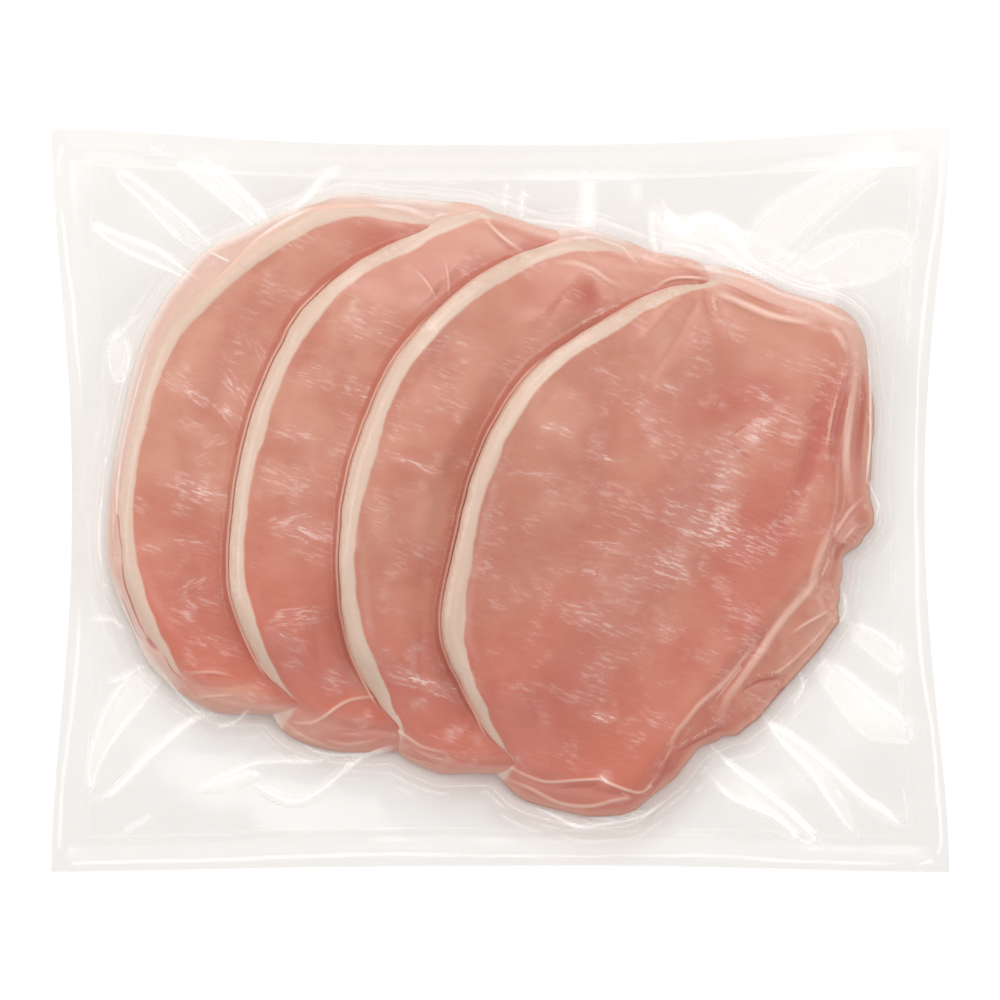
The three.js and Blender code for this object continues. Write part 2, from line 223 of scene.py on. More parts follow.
slices = [
    {
        "x": -49.6, "y": 13.2, "turn": 7, "rimFrom": 90, "length": 0.97, "width": 1.02,
        "dent": [[0, 0]],
        "skirt": [
            [30, 3], [56, 7], [66, 6.3], [78, 3], [90, 1.6], [104, 3.8], [120, 7.2], [130, 6.1],
            [142, 4.9], [156, 4.4], [172, 3.8], [199, 3.6], [222, 4], [232, 5.4], [246, 4.2], [257, 2.4],
            [300, 2],
        ],
        "pale": [
            [40, 0.5], [60, 0.9], [100, 0.9], [135, 0.6], [160, 0.3], [200, 0.2], [235, 0.3], [265, 0.5],
            [300, 0.4],
        ],
        "fat": [
            [58, -3], [64, 0.8], [76, 3.4], [88, 5.2], [98, 5.6], [107, 5.8], [118, 5.3], [129, 5.4],
            [137, 4.9], [147, 4.5], [155, 4], [161, 3.6], [174, 3.6], [194, 3.8], [209, 5], [215, 4.9],
            [224, 3.5], [231, 2.4], [238, 0], [244, -3],
        ],
        "lines": [
            crease(0.45, 0.3, 0.9, [-99, 47], [-104.8, 26.7], [-108.4, 11.4], [-109.3, -4.2],
                [-109, -19.5], [-104.2, -29.7]),
            crease(0.4, 0.2, 0.7, [-97.3, 43], [-102, 26.7], [-105.4, 11.4], [-106.4, -4.2],
                [-105.5, -17]),
            crease(0.35, -0.2, -0.6, [-106.3, 2], [-105.6, -8], [-104.4, -16]),
            crease(0.32, -0.2, -0.9, [-104.9, -14], [-104.3, -22.2], [-102.6, -27.7], [-99.9, -34.7],
                [-97.6, -38.3]),
            crease(0.3, -0.2, -0.6, [-106, -25], [-103.5, -31.1], [-101.3, -36.6], [-99.3, -39.1]),
            crease(0.7, -0.3, -0.8, [-98.2, -37.7], [-96.5, -40.2], [-94.9, -41.6]),
            crease(0.3, -0.2, -0.6, [-93.2, -43], [-91, -47.2], [-88.2, -49.9]),
            crease(0.5, 0.3, 0.5, [-84.6, -47.7], [-79.1, -47.7], [-74.9, -48.5]),
            crease(0.4, 0.3, 0.8, [-85.4, -55.2], [-79.1, -54.4], [-74.3, -54.1]),
            crease(0.7, -0.2, -0.3, [-84, -51], [-77, -51.5], [-70, -51]),
            crease(0.45, 0.3, 1, [-81.8, 69.9], [-79.1, 68.2], [-74.9, 66], [-73.2, 64.9]),
            crease(0.8, 0.3, 1, [-85.7, 53.7], [-74.7, 64.7], [-65, 73.8], [-55.3, 79.7], [-49.8, 81],
                [-41.5, 81.6], [-27.7, 81.3], [-18.8, 78.3]),
            crease(0.45, 0.3, 0.9, [-18.8, 78], [-16.6, 79.1], [-12.4, 79.7], [-9.7, 79.1]),
        ],
    },
    {
        "x": -18.9, "y": 8.4, "turn": 5, "rimFrom": 103, "length": 1, "width": 1,
        "dent": [
            [72, 0], [90, 0.6], [98, 0.7], [104, 0.4], [110, -0.3], [119, -0.7], [128, -0.6], [134, 0],
            [140, 0.9], [149, 0.6], [164, 0], [173, 0.1], [182, 0.5], [194, 1.2], [206, 1.4], [212, 1],
            [234, 0.6], [246, 0],
        ],
        "skirt": [
            [60, 2.2], [80, 1.4], [120, 0.6], [200, 0.6], [225, 1], [231, 2.4], [236, 6.2], [241, 8.3],
            [250, 7.3], [258, 6.5], [268, 4], [300, 3],
        ],
        "pale": [[40, 0.4], [60, 0.85], [90, 0.9], [105, 0], [220, 0], [240, 0.25], [290, 0.2]],
        "fat": [
            [70, -3], [77, 0.8], [85, 3.4], [95, 4.4], [106, 3.6], [116, 3.8], [122, 4.2], [129, 5.1],
            [141, 3.9], [152, 4.3], [170, 4.9], [177, 4], [188, 3.8], [206, 3.9], [217, 4.5], [224, 3.6],
            [231, 2.4], [238, 1], [244, -3],
        ],
        "lines": [
            crease(0.6, 0.4, 1, [-4.1, 78.1], [-1.4, 74.8], [2.2, 71.5], [5.5, 69.3]),
            crease(0.55, 0.2, 0.7, [-18.2, 77.6], [-26.3, 74.2], [-36.3, 67.6], [-47, 58.2]),
            crease(0.4, 0.2, 0.6, [-22.7, 63], [-19.5, 59], [-17, 54.5]),
            crease(0.4, 0.2, 0.5, [-15, 65.8], [-14.2, 61], [-14, 56.4]),
            crease(0.55, 0.4, 0.8, [-58.7, -61.5], [-55.4, -62], [-52.1, -61.8], [-48.5, -59.8],
                [-45.2, -57.3], [-41.6, -55.4], [-37.4, -54.6], [-34.6, -54.3]),
            crease(0.5, 0.3, 0.7, [-60.1, -61.5], [-56.8, -64.5], [-52.6, -66.8], [-48.5, -68.4]),
            crease(0.3, -0.2, -0.8, [-62.3, -50.7], [-59, -56]),
            crease(0.5, -0.2, -0.35, [-45.7, -64.5], [-38.8, -64], [-33.2, -62.3]),
            crease(0.5, 0.2, 0.4, [-50, -66.5], [-42, -68], [-34, -66.5]),
        ],
    },
    {
        "x": 11.6, "y": -0.2, "turn": 8.5, "rimFrom": 106, "length": 1.01, "width": 1.01,
        "dent": [
            [104, 0], [122, 0], [134, 0.4], [143, 0.8], [152, 0.6], [158, 0], [170, -0.9], [182, -0.9],
            [188, -0.3], [194, 0], [206, 1], [212, 1.5], [220, 1], [228, 0.8], [236, 0], [244, 0],
        ],
        "skirt": [
            [60, 1.4], [72, 3.4], [82, 3.8], [95, 1], [200, 0.6], [229, 1.4], [236, 3.6], [242, 5.2],
            [248, 4.4], [256, 2.4], [300, 2],
        ],
        "pale": [[40, 0.4], [60, 0.8], [85, 0.85], [100, 0], [220, 0], [240, 0.25], [290, 0.2]],
        "fat": [
            [66, -3], [73, 0.6], [80, 3], [87, 4.4], [95, 4.7], [110, 4.3], [122, 3.9], [134, 4.1],
            [152, 4.3], [158, 5], [165, 5.5], [171, 5.3], [182, 4.7], [189, 4], [201, 3.8], [212, 4.3],
            [224, 4.6], [230, 3.7], [236, 2.2], [243, -2],
        ],
        "lines": [
            crease(0.6, 0.2, 0.8, [-1.6, 66.9], [6, 69.6], [15.6, 71.4], [24.1, 72.9], [29.9, 72.7]),
            crease(0.45, 0.3, 0.9, [27.5, 72.3], [31.3, 71.2], [34.4, 69.9], [36.6, 67.1], [38.5, 64.9]),
            crease(0.6, 0.3, 0.7, [31.3, 71.5], [35.8, 69.3], [41.3, 67.1], [45.4, 65.5], [49.5, 64.4]),
            crease(0.8, 0.4, 0.75, [16.4, 65.8], [21.9, 65.2], [26, 63.6], [30.1, 60.8], [33.4, 59.2]),
            crease(2.5, -0.4, -0.5, [24.1, 60.3], [27.4, 54.8]),
            crease(0.5, 0.3, 1, [43, 58.9], [45.2, 60.3], [48, 61.4], [52.1, 61.7], [56.2, 61.4],
                [58.9, 60.8]),
            crease(0.5, 0.3, 0.7, [-33.2, -57.6], [-29.9, -62.6], [-26.6, -65.1], [-21.6, -68.4],
                [-15, -70.1]),
            crease(0.6, -0.2, -0.35, [-31.9, -66.6], [-27.2, -69.9], [-20.8, -72.4], [-13.9, -73]),
            crease(0.4, 0.2, 0.4, [-26, -68], [-19.4, -71.2], [-12.5, -72.5]),
        ],
    },
    {
        "x": 42.2, "y": -8.8, "turn": 0, "rimFrom": 106, "length": 1, "width": 1,
        "dent": [
            [64, 0], [76, 0.7], [92, 1.2], [104, 1.5], [112, 1.1], [119, 0.6], [134, 0.7], [143, 0.5],
            [150, 0], [164, 0], [172, 0.7], [182, 1.5], [188, 1.7], [200, 1.4], [207, 1.4], [212, 2],
            [218, 3.1], [225, 3.5], [232, 2.6], [246, 0],
        ],
        "skirt": [
            [354, 4.8], [0, 8.2], [5, 10], [12, 7.7], [20, 8.2], [27, 7.8], [40, 4.5], [58, 4.4], [78, 5],
            [100, 1], [180, 0.6], [215, 0.9], [232, 1.8], [239, 5.8], [245, 7.2], [257, 7.8], [263, 6],
            [268, 3.8], [273, 5.8], [278, 6], [283, 9], [287, 12.6], [295, 14.2], [315, 14.5],
            [325, 14.3], [338, 13.3], [342, 10], [347, 7.3],
        ],
        "pale": [
            [0, 0], [30, 0], [45, 0.6], [75, 0.85], [90, 0], [220, 0], [245, 0.15], [280, 0], [300, 0],
        ],
        "fat": [
            [68, -3], [73, 0], [79, 2], [90, 3], [98, 3.7], [110, 3.3], [122, 3.8], [146, 4.3],
            [160, 4.6], [171, 3.9], [182, 4.4], [192, 5.1], [205, 5.9], [212, 4.6], [218, 3], [225, 2.6],
            [231, 1.9], [238, 0.6], [243, -3],
        ],
        "lines": [
            crease(2.3, -0.5, -0.85, [92, 33], [89.5, 28], [87.8, 22.5], [86.6, 14], [84.2, 5.5],
                [81.5, -1], [78, -8], [74.5, -14]),
            crease(1, 0.4, 0.55, [96.1, 37.9], [94.7, 31.6], [93, 26.1], [91.6, 20.6], [91.2, 13.7],
                [91.4, 8.2]),
            crease(0.75, -0.3, -0.95, [96.6, 35.2], [95, 27.5], [93.5, 21], [92.4, 13.7], [92.7, 8.3]),
            crease(1.25, 0.3, 0.85, [98.8, 36], [98, 31], [97.4, 27], [96.7, 22], [96, 14], [96.1, 6]),
            crease(1.1, -0.3, -0.85, [101.2, 36], [101, 27], [100.5, 22], [99.7, 14], [99.5, 9]),
            crease(0.4, -0.2, -0.6, [63, 16.7], [66.5, 13.5], [70.1, 11]),
            crease(0.35, -0.2, -0.5, [63, 16.7], [66, 19.2], [69, 21.1]),
            crease(1.3, -0.25, -0.35, [2.4, -48.8], [7, -55], [11, -63]),
            crease(1.1, -0.2, -0.3, [23.3, -48.8], [26.5, -53], [28.2, -57.5]),
            crease(0.8, 0.4, 0.65, [71, -39.1], [66.8, -45.1], [61.6, -51.2], [55.6, -56.4],
                [51.7, -61.1], [49, -64.4], [45.7, -71]),
            crease(1.25, 0.5, 0.8, [92.4, -7.2], [90, -11.8], [88.1, -17], [86.7, -22.4], [85.5, -25.2],
                [81.7, -29.2], [78.4, -33], [75.1, -37.7], [72.3, -42.3], [68.9, -46.9], [65.9, -51.4],
                [63.2, -54.8], [62, -58], [61.2, -59.9]),
            crease(0.6, 0.3, 0.6, [92, -14.4], [90, -19.4], [87.3, -23.5], [84.8, -27.4]),
            crease(0.6, 0.4, 0.7, [100.1, 0], [96.8, -3.3], [93.5, -8.3], [92.4, -11.1]),
            crease(0.5, 0.4, 0.75, [66, -52.1], [68.8, -50.2], [72.1, -48.8], [76, -48.2], [78.7, -46.9],
                [82.1, -44.1], [85.4, -40.8], [89.3, -36.9], [93.4, -32.2]),
            crease(0.5, -0.5, -0.9, [66.6, -53.5], [69.4, -51.5], [72.7, -50.1], [76.3, -49.6],
                [79.3, -49]),
            crease(1.6, -0.4, -0.5, [77, -50], [78.5, -53], [76.5, -56]),
            crease(0.45, 0.3, 0.75, [48, -69], [52.1, -67.1], [57.4, -64.3], [62.1, -61.8]),
            crease(0.4, -0.4, -0.9, [48.3, -70.3], [52.7, -68.1], [58, -65.4], [62.7, -62.9]),
            crease(0.5, 0.2, 0.9, [81.2, -36.9], [85.4, -34.1], [91.5, -30.8]),
            crease(1, -0.4, -0.8, [96, -11.7], [94, -13.9], [93.2, -17.5]),
            crease(0.5, 0.3, 0.6, [99.3, -6.9], [97.1, -9.2], [95.2, -11.7]),
            crease(0.5, 0.4, 0.9, [0, -72.4], [3.3, -74.4], [8.3, -76.8], [13.3, -78.2], [19.9, -77.7],
                [24.9, -77.4], [28.2, -77.4], [32.3, -79.3], [37.3, -81], [39.8, -81], [42.3, -78.5],
                [44.8, -74.9], [47.3, -69.1], [49.8, -66.6]),
            crease(0.7, -0.3, -0.7, [14, -79.5], [20.7, -79.2], [27, -79]),
            crease(0.6, -0.4, -0.8, [38, -82.6], [40.6, -82.2], [43.5, -79], [46.3, -74.2], [49, -69.3]),
            crease(0.6, 0.3, 0.75, [0, -76.8], [8.3, -80.1], [16.6, -84.3], [25, -85.1], [31.6, -83.4],
                [38.3, -81.8], [41.6, -80.1]),
            crease(1.2, 0.4, 1, [58.8, 58.5], [64.3, 55.8], [69.7, 53.3], [75.2, 51.1], [82.1, 49.8],
                [87.5, 49.8]),
            crease(0.5, -0.1, -0.45, [60.2, 60.3], [65.6, 58.4], [70, 56.2], [76, 53.8], [82, 52]),
            crease(0.6, -0.3, -0.6, [56.9, 58.3], [56.9, 54.7], [58.3, 51.4], [60.2, 49.8]),
            crease(0.5, 0.2, 0.5, [59.6, 57.4], [59.1, 54.7], [60.7, 50.6]),
            crease(1, 0.3, 0.9, [91.6, 47.9], [94.4, 45.1], [95.7, 41.6]),
        ],
    },
]


def outwardNormals(outline):
    run = np.roll(outline, -1, 0) - np.roll(outline, 1, 0)
    run /= np.hypot(*run.T)[:, None]
    return np.column_stack([run[:, 1], -run[:, 0]])


def placeSlice(cut):
    lean = math.radians(stack["lean"])
    turn = math.radians(cut["turn"])
    turning = np.array([[math.cos(turn), math.sin(turn)], [-math.sin(turn), math.cos(turn)]])
    along = np.array([math.cos(lean), math.sin(lean)])
    across = np.array([-along[1], along[0]])
    face = np.array(stack["face"])
    sized = np.outer(face @ along * cut["length"], along) + np.outer(face @ across * cut["width"], across)
    middle = np.array([cut["x"], cut["y"]])
    outline = evenPoints((sized @ turning + middle)[::-1], stack["spokes"], closed=True)
    bearings = np.degrees(np.arctan2(*(outline - middle).T[::-1]))
    outline = outline - outwardNormals(outline) * aroundCircle(cut["dent"], bearings)[:, None]
    normals = outwardNormals(outline)
    skirts = aroundCircle(cut["skirt"], bearings)
    foot = outline + normals * (skirts + stack["fillet"])[:, None]
    step = stack["gaugeStep"]
    return {
        "middle": middle, "outline": outline, "normals": normals, "skirts": skirts, "axis": along @ turning,
        "rimFrom": cut["rimFrom"], "gauge": outline[::step], "foot": foot[::step],
    }


placed = [placeSlice(cut) for cut in slices]


def restingHeight(k, depths):  # the height of what slice number k rests on
    bends = (smoothStep(depth, stack["bendStart"], stack["bendEnd"]) for depth in depths[:k])
    layers = sum(bends, np.zeros(len(depths[0])))
    inner = smoothStep(np.max(depths, 0), 0, stack["squeezeReach"])
    return stack["thickness"] * layers * (stack["squeezedShare"] + (1 - stack["squeezedShare"]) * inner)


# A steak's own surface: rings across its face, down its side and back across its underside. The rim stands a
# little proud, and the shoulder rounds down to the side.
steak = {
    "faceRings": 72,
    "sideRings": 18,
    "baseRings": 6,
    "rimCrowding": 0.62,
    "footPale": 3.2,
    "rimRise": 0.6,
    "edgeRise": 0.15,
    "rimDepth": 3.6,
    "rimHalf": 4.5,
    "shoulderDepth": 4.5,
    "shoulderDrop": 0.2,
    "shoulderRound": 2.2,
    "sideDrop": 0.64,
    "sideRound": 0.65,
    "tuck": 1.4,
    "clear": 0.12,
    "coverStart": 0.5,
    "coverEnd": 3,
    "swell": {"rise": 0.2, "size": 26, "seedStep": 3.1, "seed": 0.5},
    "dapple": {"rise": 0.04, "size": 6, "seedStep": 7.7, "seed": 2.5},
    "reliefStart": 8,
    "outerFade": (-0.5, 0.4),
    "spreadFade": (1.4, 2.4),
    "fatFade": (-1, 1.5),
    "paleFade": (-0.8, 2.6),
    "weld": 0.001,
    "lineTip": 0.02,
    "lineSpread": 1.6,
    "lineLeast": 1.1,
    "lineFade": (0.6, 1.4),
    "notUnder": 99.0,
}

# Where the lean is redder, or paler with an amount below 0: for each slice x, y, half length, half width,
# the way the length runs in degrees from +X, and the amount.
leanPatches = [
    [[-33, 72.5, 15, 5.5, -8, 0.9], [-44, 61, 14, 7, 30, 0.5], [-75, 42, 17, 9, 60, 0.5],
     [-82, -17, 16, 10, 100, 0.6], [-107, -8, 20, 5, 88, 0.6], [-85, 44, 30, 7, 60, -0.5],
     [-94, 14, 10, 6, 90, -0.35], [-88, -27, 8, 8, 0, 0.35], [-74, -54, 13, 4.5, -4, -0.9],
     [-81, -34, 9, 12, 30, 0.4]],
    [[-16.5, 63, 13, 8, 0, 0.4], [-8, 74, 14, 5, -10, -0.4], [-51, -7, 20, 10, 100, 0.5],
     [-52, -47, 12, 9, -20, 0.4], [-59, -33, 8, 8, 0, 0.35], [-50, -62, 12, 4, 10, -0.35],
     [-37, -49, 8, 6, 45, -0.5]],
    [[17, 56, 16, 8, -10, 0.6], [24, 56, 6, 5, -50, 0.5], [0, 28, 18, 11, 60, 0.3],
     [-18, -52, 12, 12, -20, 0.4], [-11, -13, 8, 14, 0, 0.35], [-1, -66, 6, 6, 0, -0.5]],
    [[67, -14, 44, 10, 62, 0.8], [52, -4, 36, 22, 52, 0.45], [28, -50, 30, 24, 20, 0.45],
     [92, 22, 24, 8, 85, 1.1], [58, 34, 20, 9, 50, 0.3], [12, 20, 26, 14, 60, -0.2],
     [73, -32, 36, 7, 59, 0.8], [87, -42, 20, 7, 50, -0.6], [62, -60, 9, 5, 40, 0.6],
     [47, -76, 6, 5, 60, 0.8], [14, -30, 20, 18, 30, 0.35], [62, 25, 10, 6, 0, 0.5],
     [45, -8, 60, 40, 60, 0.2], [70, 30, 10, 6, 0, 0.7], [76, -11, 8, 8, 0, 0.9],
     [66, -33, 8, 6, 60, 0.4], [51, -44, 10, 8, 30, 0.4], [13, -55, 10, 10, 0, 0.6],
     [74, 27, 8, 11, 0, 0.4], [77, -33, 6, 6, 0, -0.5]],
]


def patchTint(patches, x, y):
    tint = np.zeros(len(x))
    core, edge = 0.1, 1.3
    for px, py, long, wide, turn, amount in patches:
        turn = math.radians(turn)
        along = (x - px) * math.cos(turn) + (y - py) * math.sin(turn)
        across = (y - py) * math.cos(turn) - (x - px) * math.sin(turn)
        tint += amount * (1 - smoothStep(np.hypot(along / long, across / wide), core, edge))
    return tint


def leftRimMask(place, x, y):  # 1 beside the rim of fat of a slice, 0 beside the rest of it
    bearing = np.degrees(np.arctan2(y - place["middle"][1], x - place["middle"][0])) % 360
    starts = smoothStep(bearing, place["rimFrom"], place["rimFrom"] + stack["rimStart"])
    return starts * smoothStep(-bearing, -stack["rimEnd"][1], -stack["rimEnd"][0])


def makeSteak(k):
    here = placed[k]
    faceRings, sideRings, baseRings = steak["faceRings"], steak["sideRings"], steak["baseRings"]
    rings = faceRings + sideRings + baseRings + 1
    bpy.ops.mesh.primitive_grid_add(x_subdivisions=stack["spokes"], y_subdivisions=rings, size=2)
    piece = bpy.context.object
    piece.name = f"steak_{k + 1}"
    co = readVertices(piece)
    ring = np.rint((1 - co[:, 1]) / 2 * rings).astype(int)
    spoke = np.rint((co[:, 0] + 1) / 2 * stack["spokes"]).astype(int) % stack["spokes"]

    t = np.clip(ring / faceRings, 0, 1)
    crowding = steak["rimCrowding"]
    faceShare = (1 - crowding) * t + crowding * np.sin(t * math.pi / 2)
    side = np.clip((ring - faceRings) / sideRings, 0, 1)
    under = np.clip((ring - faceRings - sideRings) / (baseRings + 1), 0, 1)
    outline, normals, skirts = here["outline"][spoke], here["normals"][spoke], here["skirts"][spoke]
    spread = skirts * side - np.where(under > 0, steak["tuck"], 0)
    rim = outline + normals * spread[:, None]
    share = np.where(ring <= faceRings, faceShare, 1 - under)
    plan = here["middle"] + (rim - here["middle"]) * share[:, None]
    x, y = plan.T

    depths = [depthInside(p["gauge"], x, y) for p in placed]
    rest = restingHeight(k, depths)
    depth = depths[k]
    rounding = np.clip(1 - depth / steak["shoulderDepth"], 0, 1) ** steak["shoulderRound"]
    edgeRise = steak["edgeRise"]
    rise = steak["rimRise"] * (edgeRise + (1 - edgeRise) * leftRimMask(here, x, y))
    faceHeight = stack["thickness"] * (1 - steak["shoulderDrop"] * rounding)
    faceHeight += rise * bump(depth - steak["rimDepth"], steak["rimHalf"])
    relief = np.zeros(len(x))
    for wave in (steak["swell"], steak["dapple"]):
        relief += wave["rise"] * roughness(x, y, wave["size"], wave["seedStep"] * k + wave["seed"])
    relief *= smoothStep(depth, 0, steak["reliefStart"])
    creases, lineOff, lineHalf, lineTone = traceLines(slices[k]["lines"], x, y)
    slope = (1 - steak["sideRound"]) * side + steak["sideRound"] * side ** 2
    sideHeight = stack["thickness"] * (1 - steak["shoulderDrop"] - steak["sideDrop"] * slope)
    z = np.where(ring <= faceRings, faceHeight + relief, np.where(under > 0, steak["clear"], sideHeight))
    z = rest + z + np.where(under > 0, 0, creases)
    for j in range(k + 1, len(placed)):  # pressed thin where a slice above covers it
        cover = smoothStep(depths[j], steak["coverStart"], steak["coverEnd"])
        ceiling = restingHeight(j, depths) - steak["clear"]
        floor = rest + steak["clear"] * 2
        z = np.where(under > 0, z, z + (np.clip(z, floor, np.maximum(ceiling, floor)) - z) * cover)
    writeVertices(piece, np.column_stack([x, y, z]) * mm)

    bearing = np.degrees(np.arctan2(y - here["middle"][1], x - here["middle"][0]))
    fatWidth = aroundCircle(slices[k]["fat"], bearing)
    toFoot = skirts * (1 - side)
    above = [depths[j] for j in range(k + 1, len(placed))]
    outer = 1 - smoothStep(depth, *steak["outerFade"])
    spreads = smoothStep(skirts, *steak["spreadFade"])
    hasFat = smoothStep(fatWidth, *steak["fatFade"])
    pale = aroundCircle(slices[k]["pale"], bearing)
    values = {
        "fatDepth": fatWidth - np.maximum(depth, 0),
        "lineOff": lineOff,
        "lineHalf": lineHalf,
        "lineTone": lineTone,
        "footPale": np.where(ring > faceRings, 1 - smoothStep(toFoot, 0, steak["footPale"]), 0),
        "spreadFat": outer * spreads * hasFat,
        "edgePale": pale * (1 - smoothStep(depth, *steak["paleFade"])),
        "tint": patchTint(leanPatches[k], x, y),
        "underGap": -np.max(above, 0) if above else np.full(len(x), steak["notUnder"]),
        "underRim": leftRimMask(placed[k + 1], x, y) if above else np.zeros(len(x)),
        "along": (plan - here["middle"]) @ here["axis"] / (stack["halfLength"] * slices[k]["length"]),
    }
    for name, value in values.items():
        writeAttribute(piece, name, value)
    bpy.ops.object.mode_set(mode="EDIT")  # the sheet of rings and spokes closes where its two ends meet
    bpy.ops.mesh.select_all(action="SELECT")
    bpy.ops.mesh.remove_doubles(threshold=steak["weld"] * mm)
    bpy.ops.mesh.normals_make_consistent(inside=False)
    bpy.ops.object.mode_set(mode="OBJECT")
    bpy.ops.object.shade_smooth()
    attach(piece, "root")
    return piece


steaks = [makeSteak(k) for k in range(len(slices))]
print("steaks made:", sum(len(s.data.polygons) for s in steaks), "faces")

# The bag, laid flat: drawn in along each side by the vacuum, with a welded border.
bagLow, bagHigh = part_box("vacuum_pack")
bag = {
    "width": (bagHigh.x - bagLow.x) / mm,
    "depth": (bagHigh.y - bagLow.y) / mm,
    "drawnIn": {"left": 5.6, "right": 6.6, "top": 4.4, "bottom": 1.6},
    "sideCurve": 2.2,
    "endCurve": 3,
    "sealWidth": 8.8,
    "sealCells": 4,
    "hem": 0.25,
    "cell": 0.75,
    "underRatio": 4,
    "lift": 4,
    "liftStart": 1,
    "liftEnd": 32,
    "wave": {"share": 0.25, "xScale": 26, "yScale": 31, "xShift": 0.8},
    "plyGap": 0.6,
    "sealGap": 0.3,
    "cling": 0.16,
    "steepStep": 0.8,
    "wallSlope": 4.5,
    "pull": 0.45,
    "pullOnMeat": 2.6,
    # shade: by bearing round the bag, how strong and how wide the painted shadow beside the steaks is, and
    # how strong the lines that follow them are
    "shade": [
        [20, 0.55], [60, 0.28], [130, 0.28], [165, 0.5], [205, 0.6], [222, 1], [245, 1], [272, 1.4],
        [292, 1.4], [308, 1], [335, 0.7],
    ],
    "foldHeight": 0.4,
    "foldFoot": 1,
    "foldTip": 0.12,
    "foldFaint": 0.35,
    "foldFade": (0.9, 1.5),
    "leafHeight": 0.6,
    "leafFade": (-0.5, 2.5),
    "milkyFade": (-0.4, 1.4),
    "wallPasses": 3,
    "settling": 90,
    "sealStep": 1.5,
    "crinkleTurn": -20,
    "crinkleSpread": (2, 0.6),
    "crinkleReach": (0.8, 0.8),
    "crinkleShift": (7, 3),
    "loneCrinkle": 1.7,
    "clingFade": (0.3, 2.5),
    "wander": {"size": 38, "seed": 4.5, "octaves": 1},
    "patches": {"size": 9, "seed": 8.5, "octaves": 2},
    "smoothRim": {"depth": 1.5, "half": 4.5, "amount": 1.5},
}


def gridLines(extent):  # from -1 to 1: a multiple of underRatio even cells inside, coarse ones in the seals
    seal = bag["sealWidth"] / extent
    ratio = bag["underRatio"]
    cells = round(2 * (extent - bag["sealWidth"]) / bag["cell"] / ratio) * ratio
    hem = -1 + bag["hem"] / extent
    border = np.concatenate([[-1], np.linspace(hem, -1 + seal, bag["sealCells"])[:-1]])
    inside = np.linspace(-1 + seal, 1 - seal, cells + 1)
    return np.concatenate([border, inside, -border[::-1]])


def drawIn(depth, power, w):
    return depth * (1 - np.abs(w) ** power) ** 2


def sheetPoint(u, v):
    sideways = np.where(u < 0, bag["drawnIn"]["left"], bag["drawnIn"]["right"])
    endways = np.where(v < 0, bag["drawnIn"]["bottom"], bag["drawnIn"]["top"])
    x = u * (bag["width"] / 2 - drawIn(sideways, bag["sideCurve"], v))
    y = v * (bag["depth"] / 2 - drawIn(endways, bag["endCurve"], u))
    return x, y


def edgeDistance(u, v):  # how far in from the border's outer edge
    return np.minimum(bag["width"] / 2 * (1 - np.abs(u)), bag["depth"] / 2 * (1 - np.abs(v)))


def sheetLift(x, y):  # how far the bag stands off the table, and how far away the steaks are
    away = -np.max([depthInside(p["foot"], x, y) for p in placed], 0)
    wave = bag["wave"]
    ripple = np.sin(x / wave["xScale"] + wave["xShift"]) * np.cos(y / wave["yScale"])
    rise = bag["lift"] * (1 - wave["share"] + wave["share"] * ripple)
    return rise * smoothStep(away, bag["liftStart"], bag["liftEnd"]), away


def addSheet(linesX, linesY):
    bpy.ops.mesh.primitive_grid_add(x_subdivisions=len(linesX) - 1, y_subdivisions=len(linesY) - 1, size=2)
    sheet = bpy.context.object
    co = readVertices(sheet)
    i = np.rint((co[:, 0] + 1) / 2 * (len(linesX) - 1)).astype(int)
    j = np.rint((co[:, 1] + 1) / 2 * (len(linesY) - 1)).astype(int)
    return sheet, i, j


def steakTree():
    bm = bmesh.new()
    for piece in steaks:
        bm.from_mesh(piece.data)
    tree = BVHTree.FromBMesh(bm)
    bm.free()
    return tree


def meatHeight(tree, x, y):  # the height of the steaks under each point, or -1 where there is none
    above = 0.1
    down = Vector((0, 0, -1))
    heights = np.full(len(x), -1.0)
    for n, (a, b) in enumerate(zip(x * mm, y * mm)):
        hit = tree.ray_cast(Vector((a, b, above)), down)[0]
        if hit is not None:
            heights[n] = hit.z / mm
    return heights


def highestBeside(block):  # the highest of each cell and the eight round it
    wide = np.pad(block, 1, mode="edge")
    n, m = block.shape
    return np.max([wide[a:a + n, b:b + m] for a in range(3) for b in range(3)], 0)
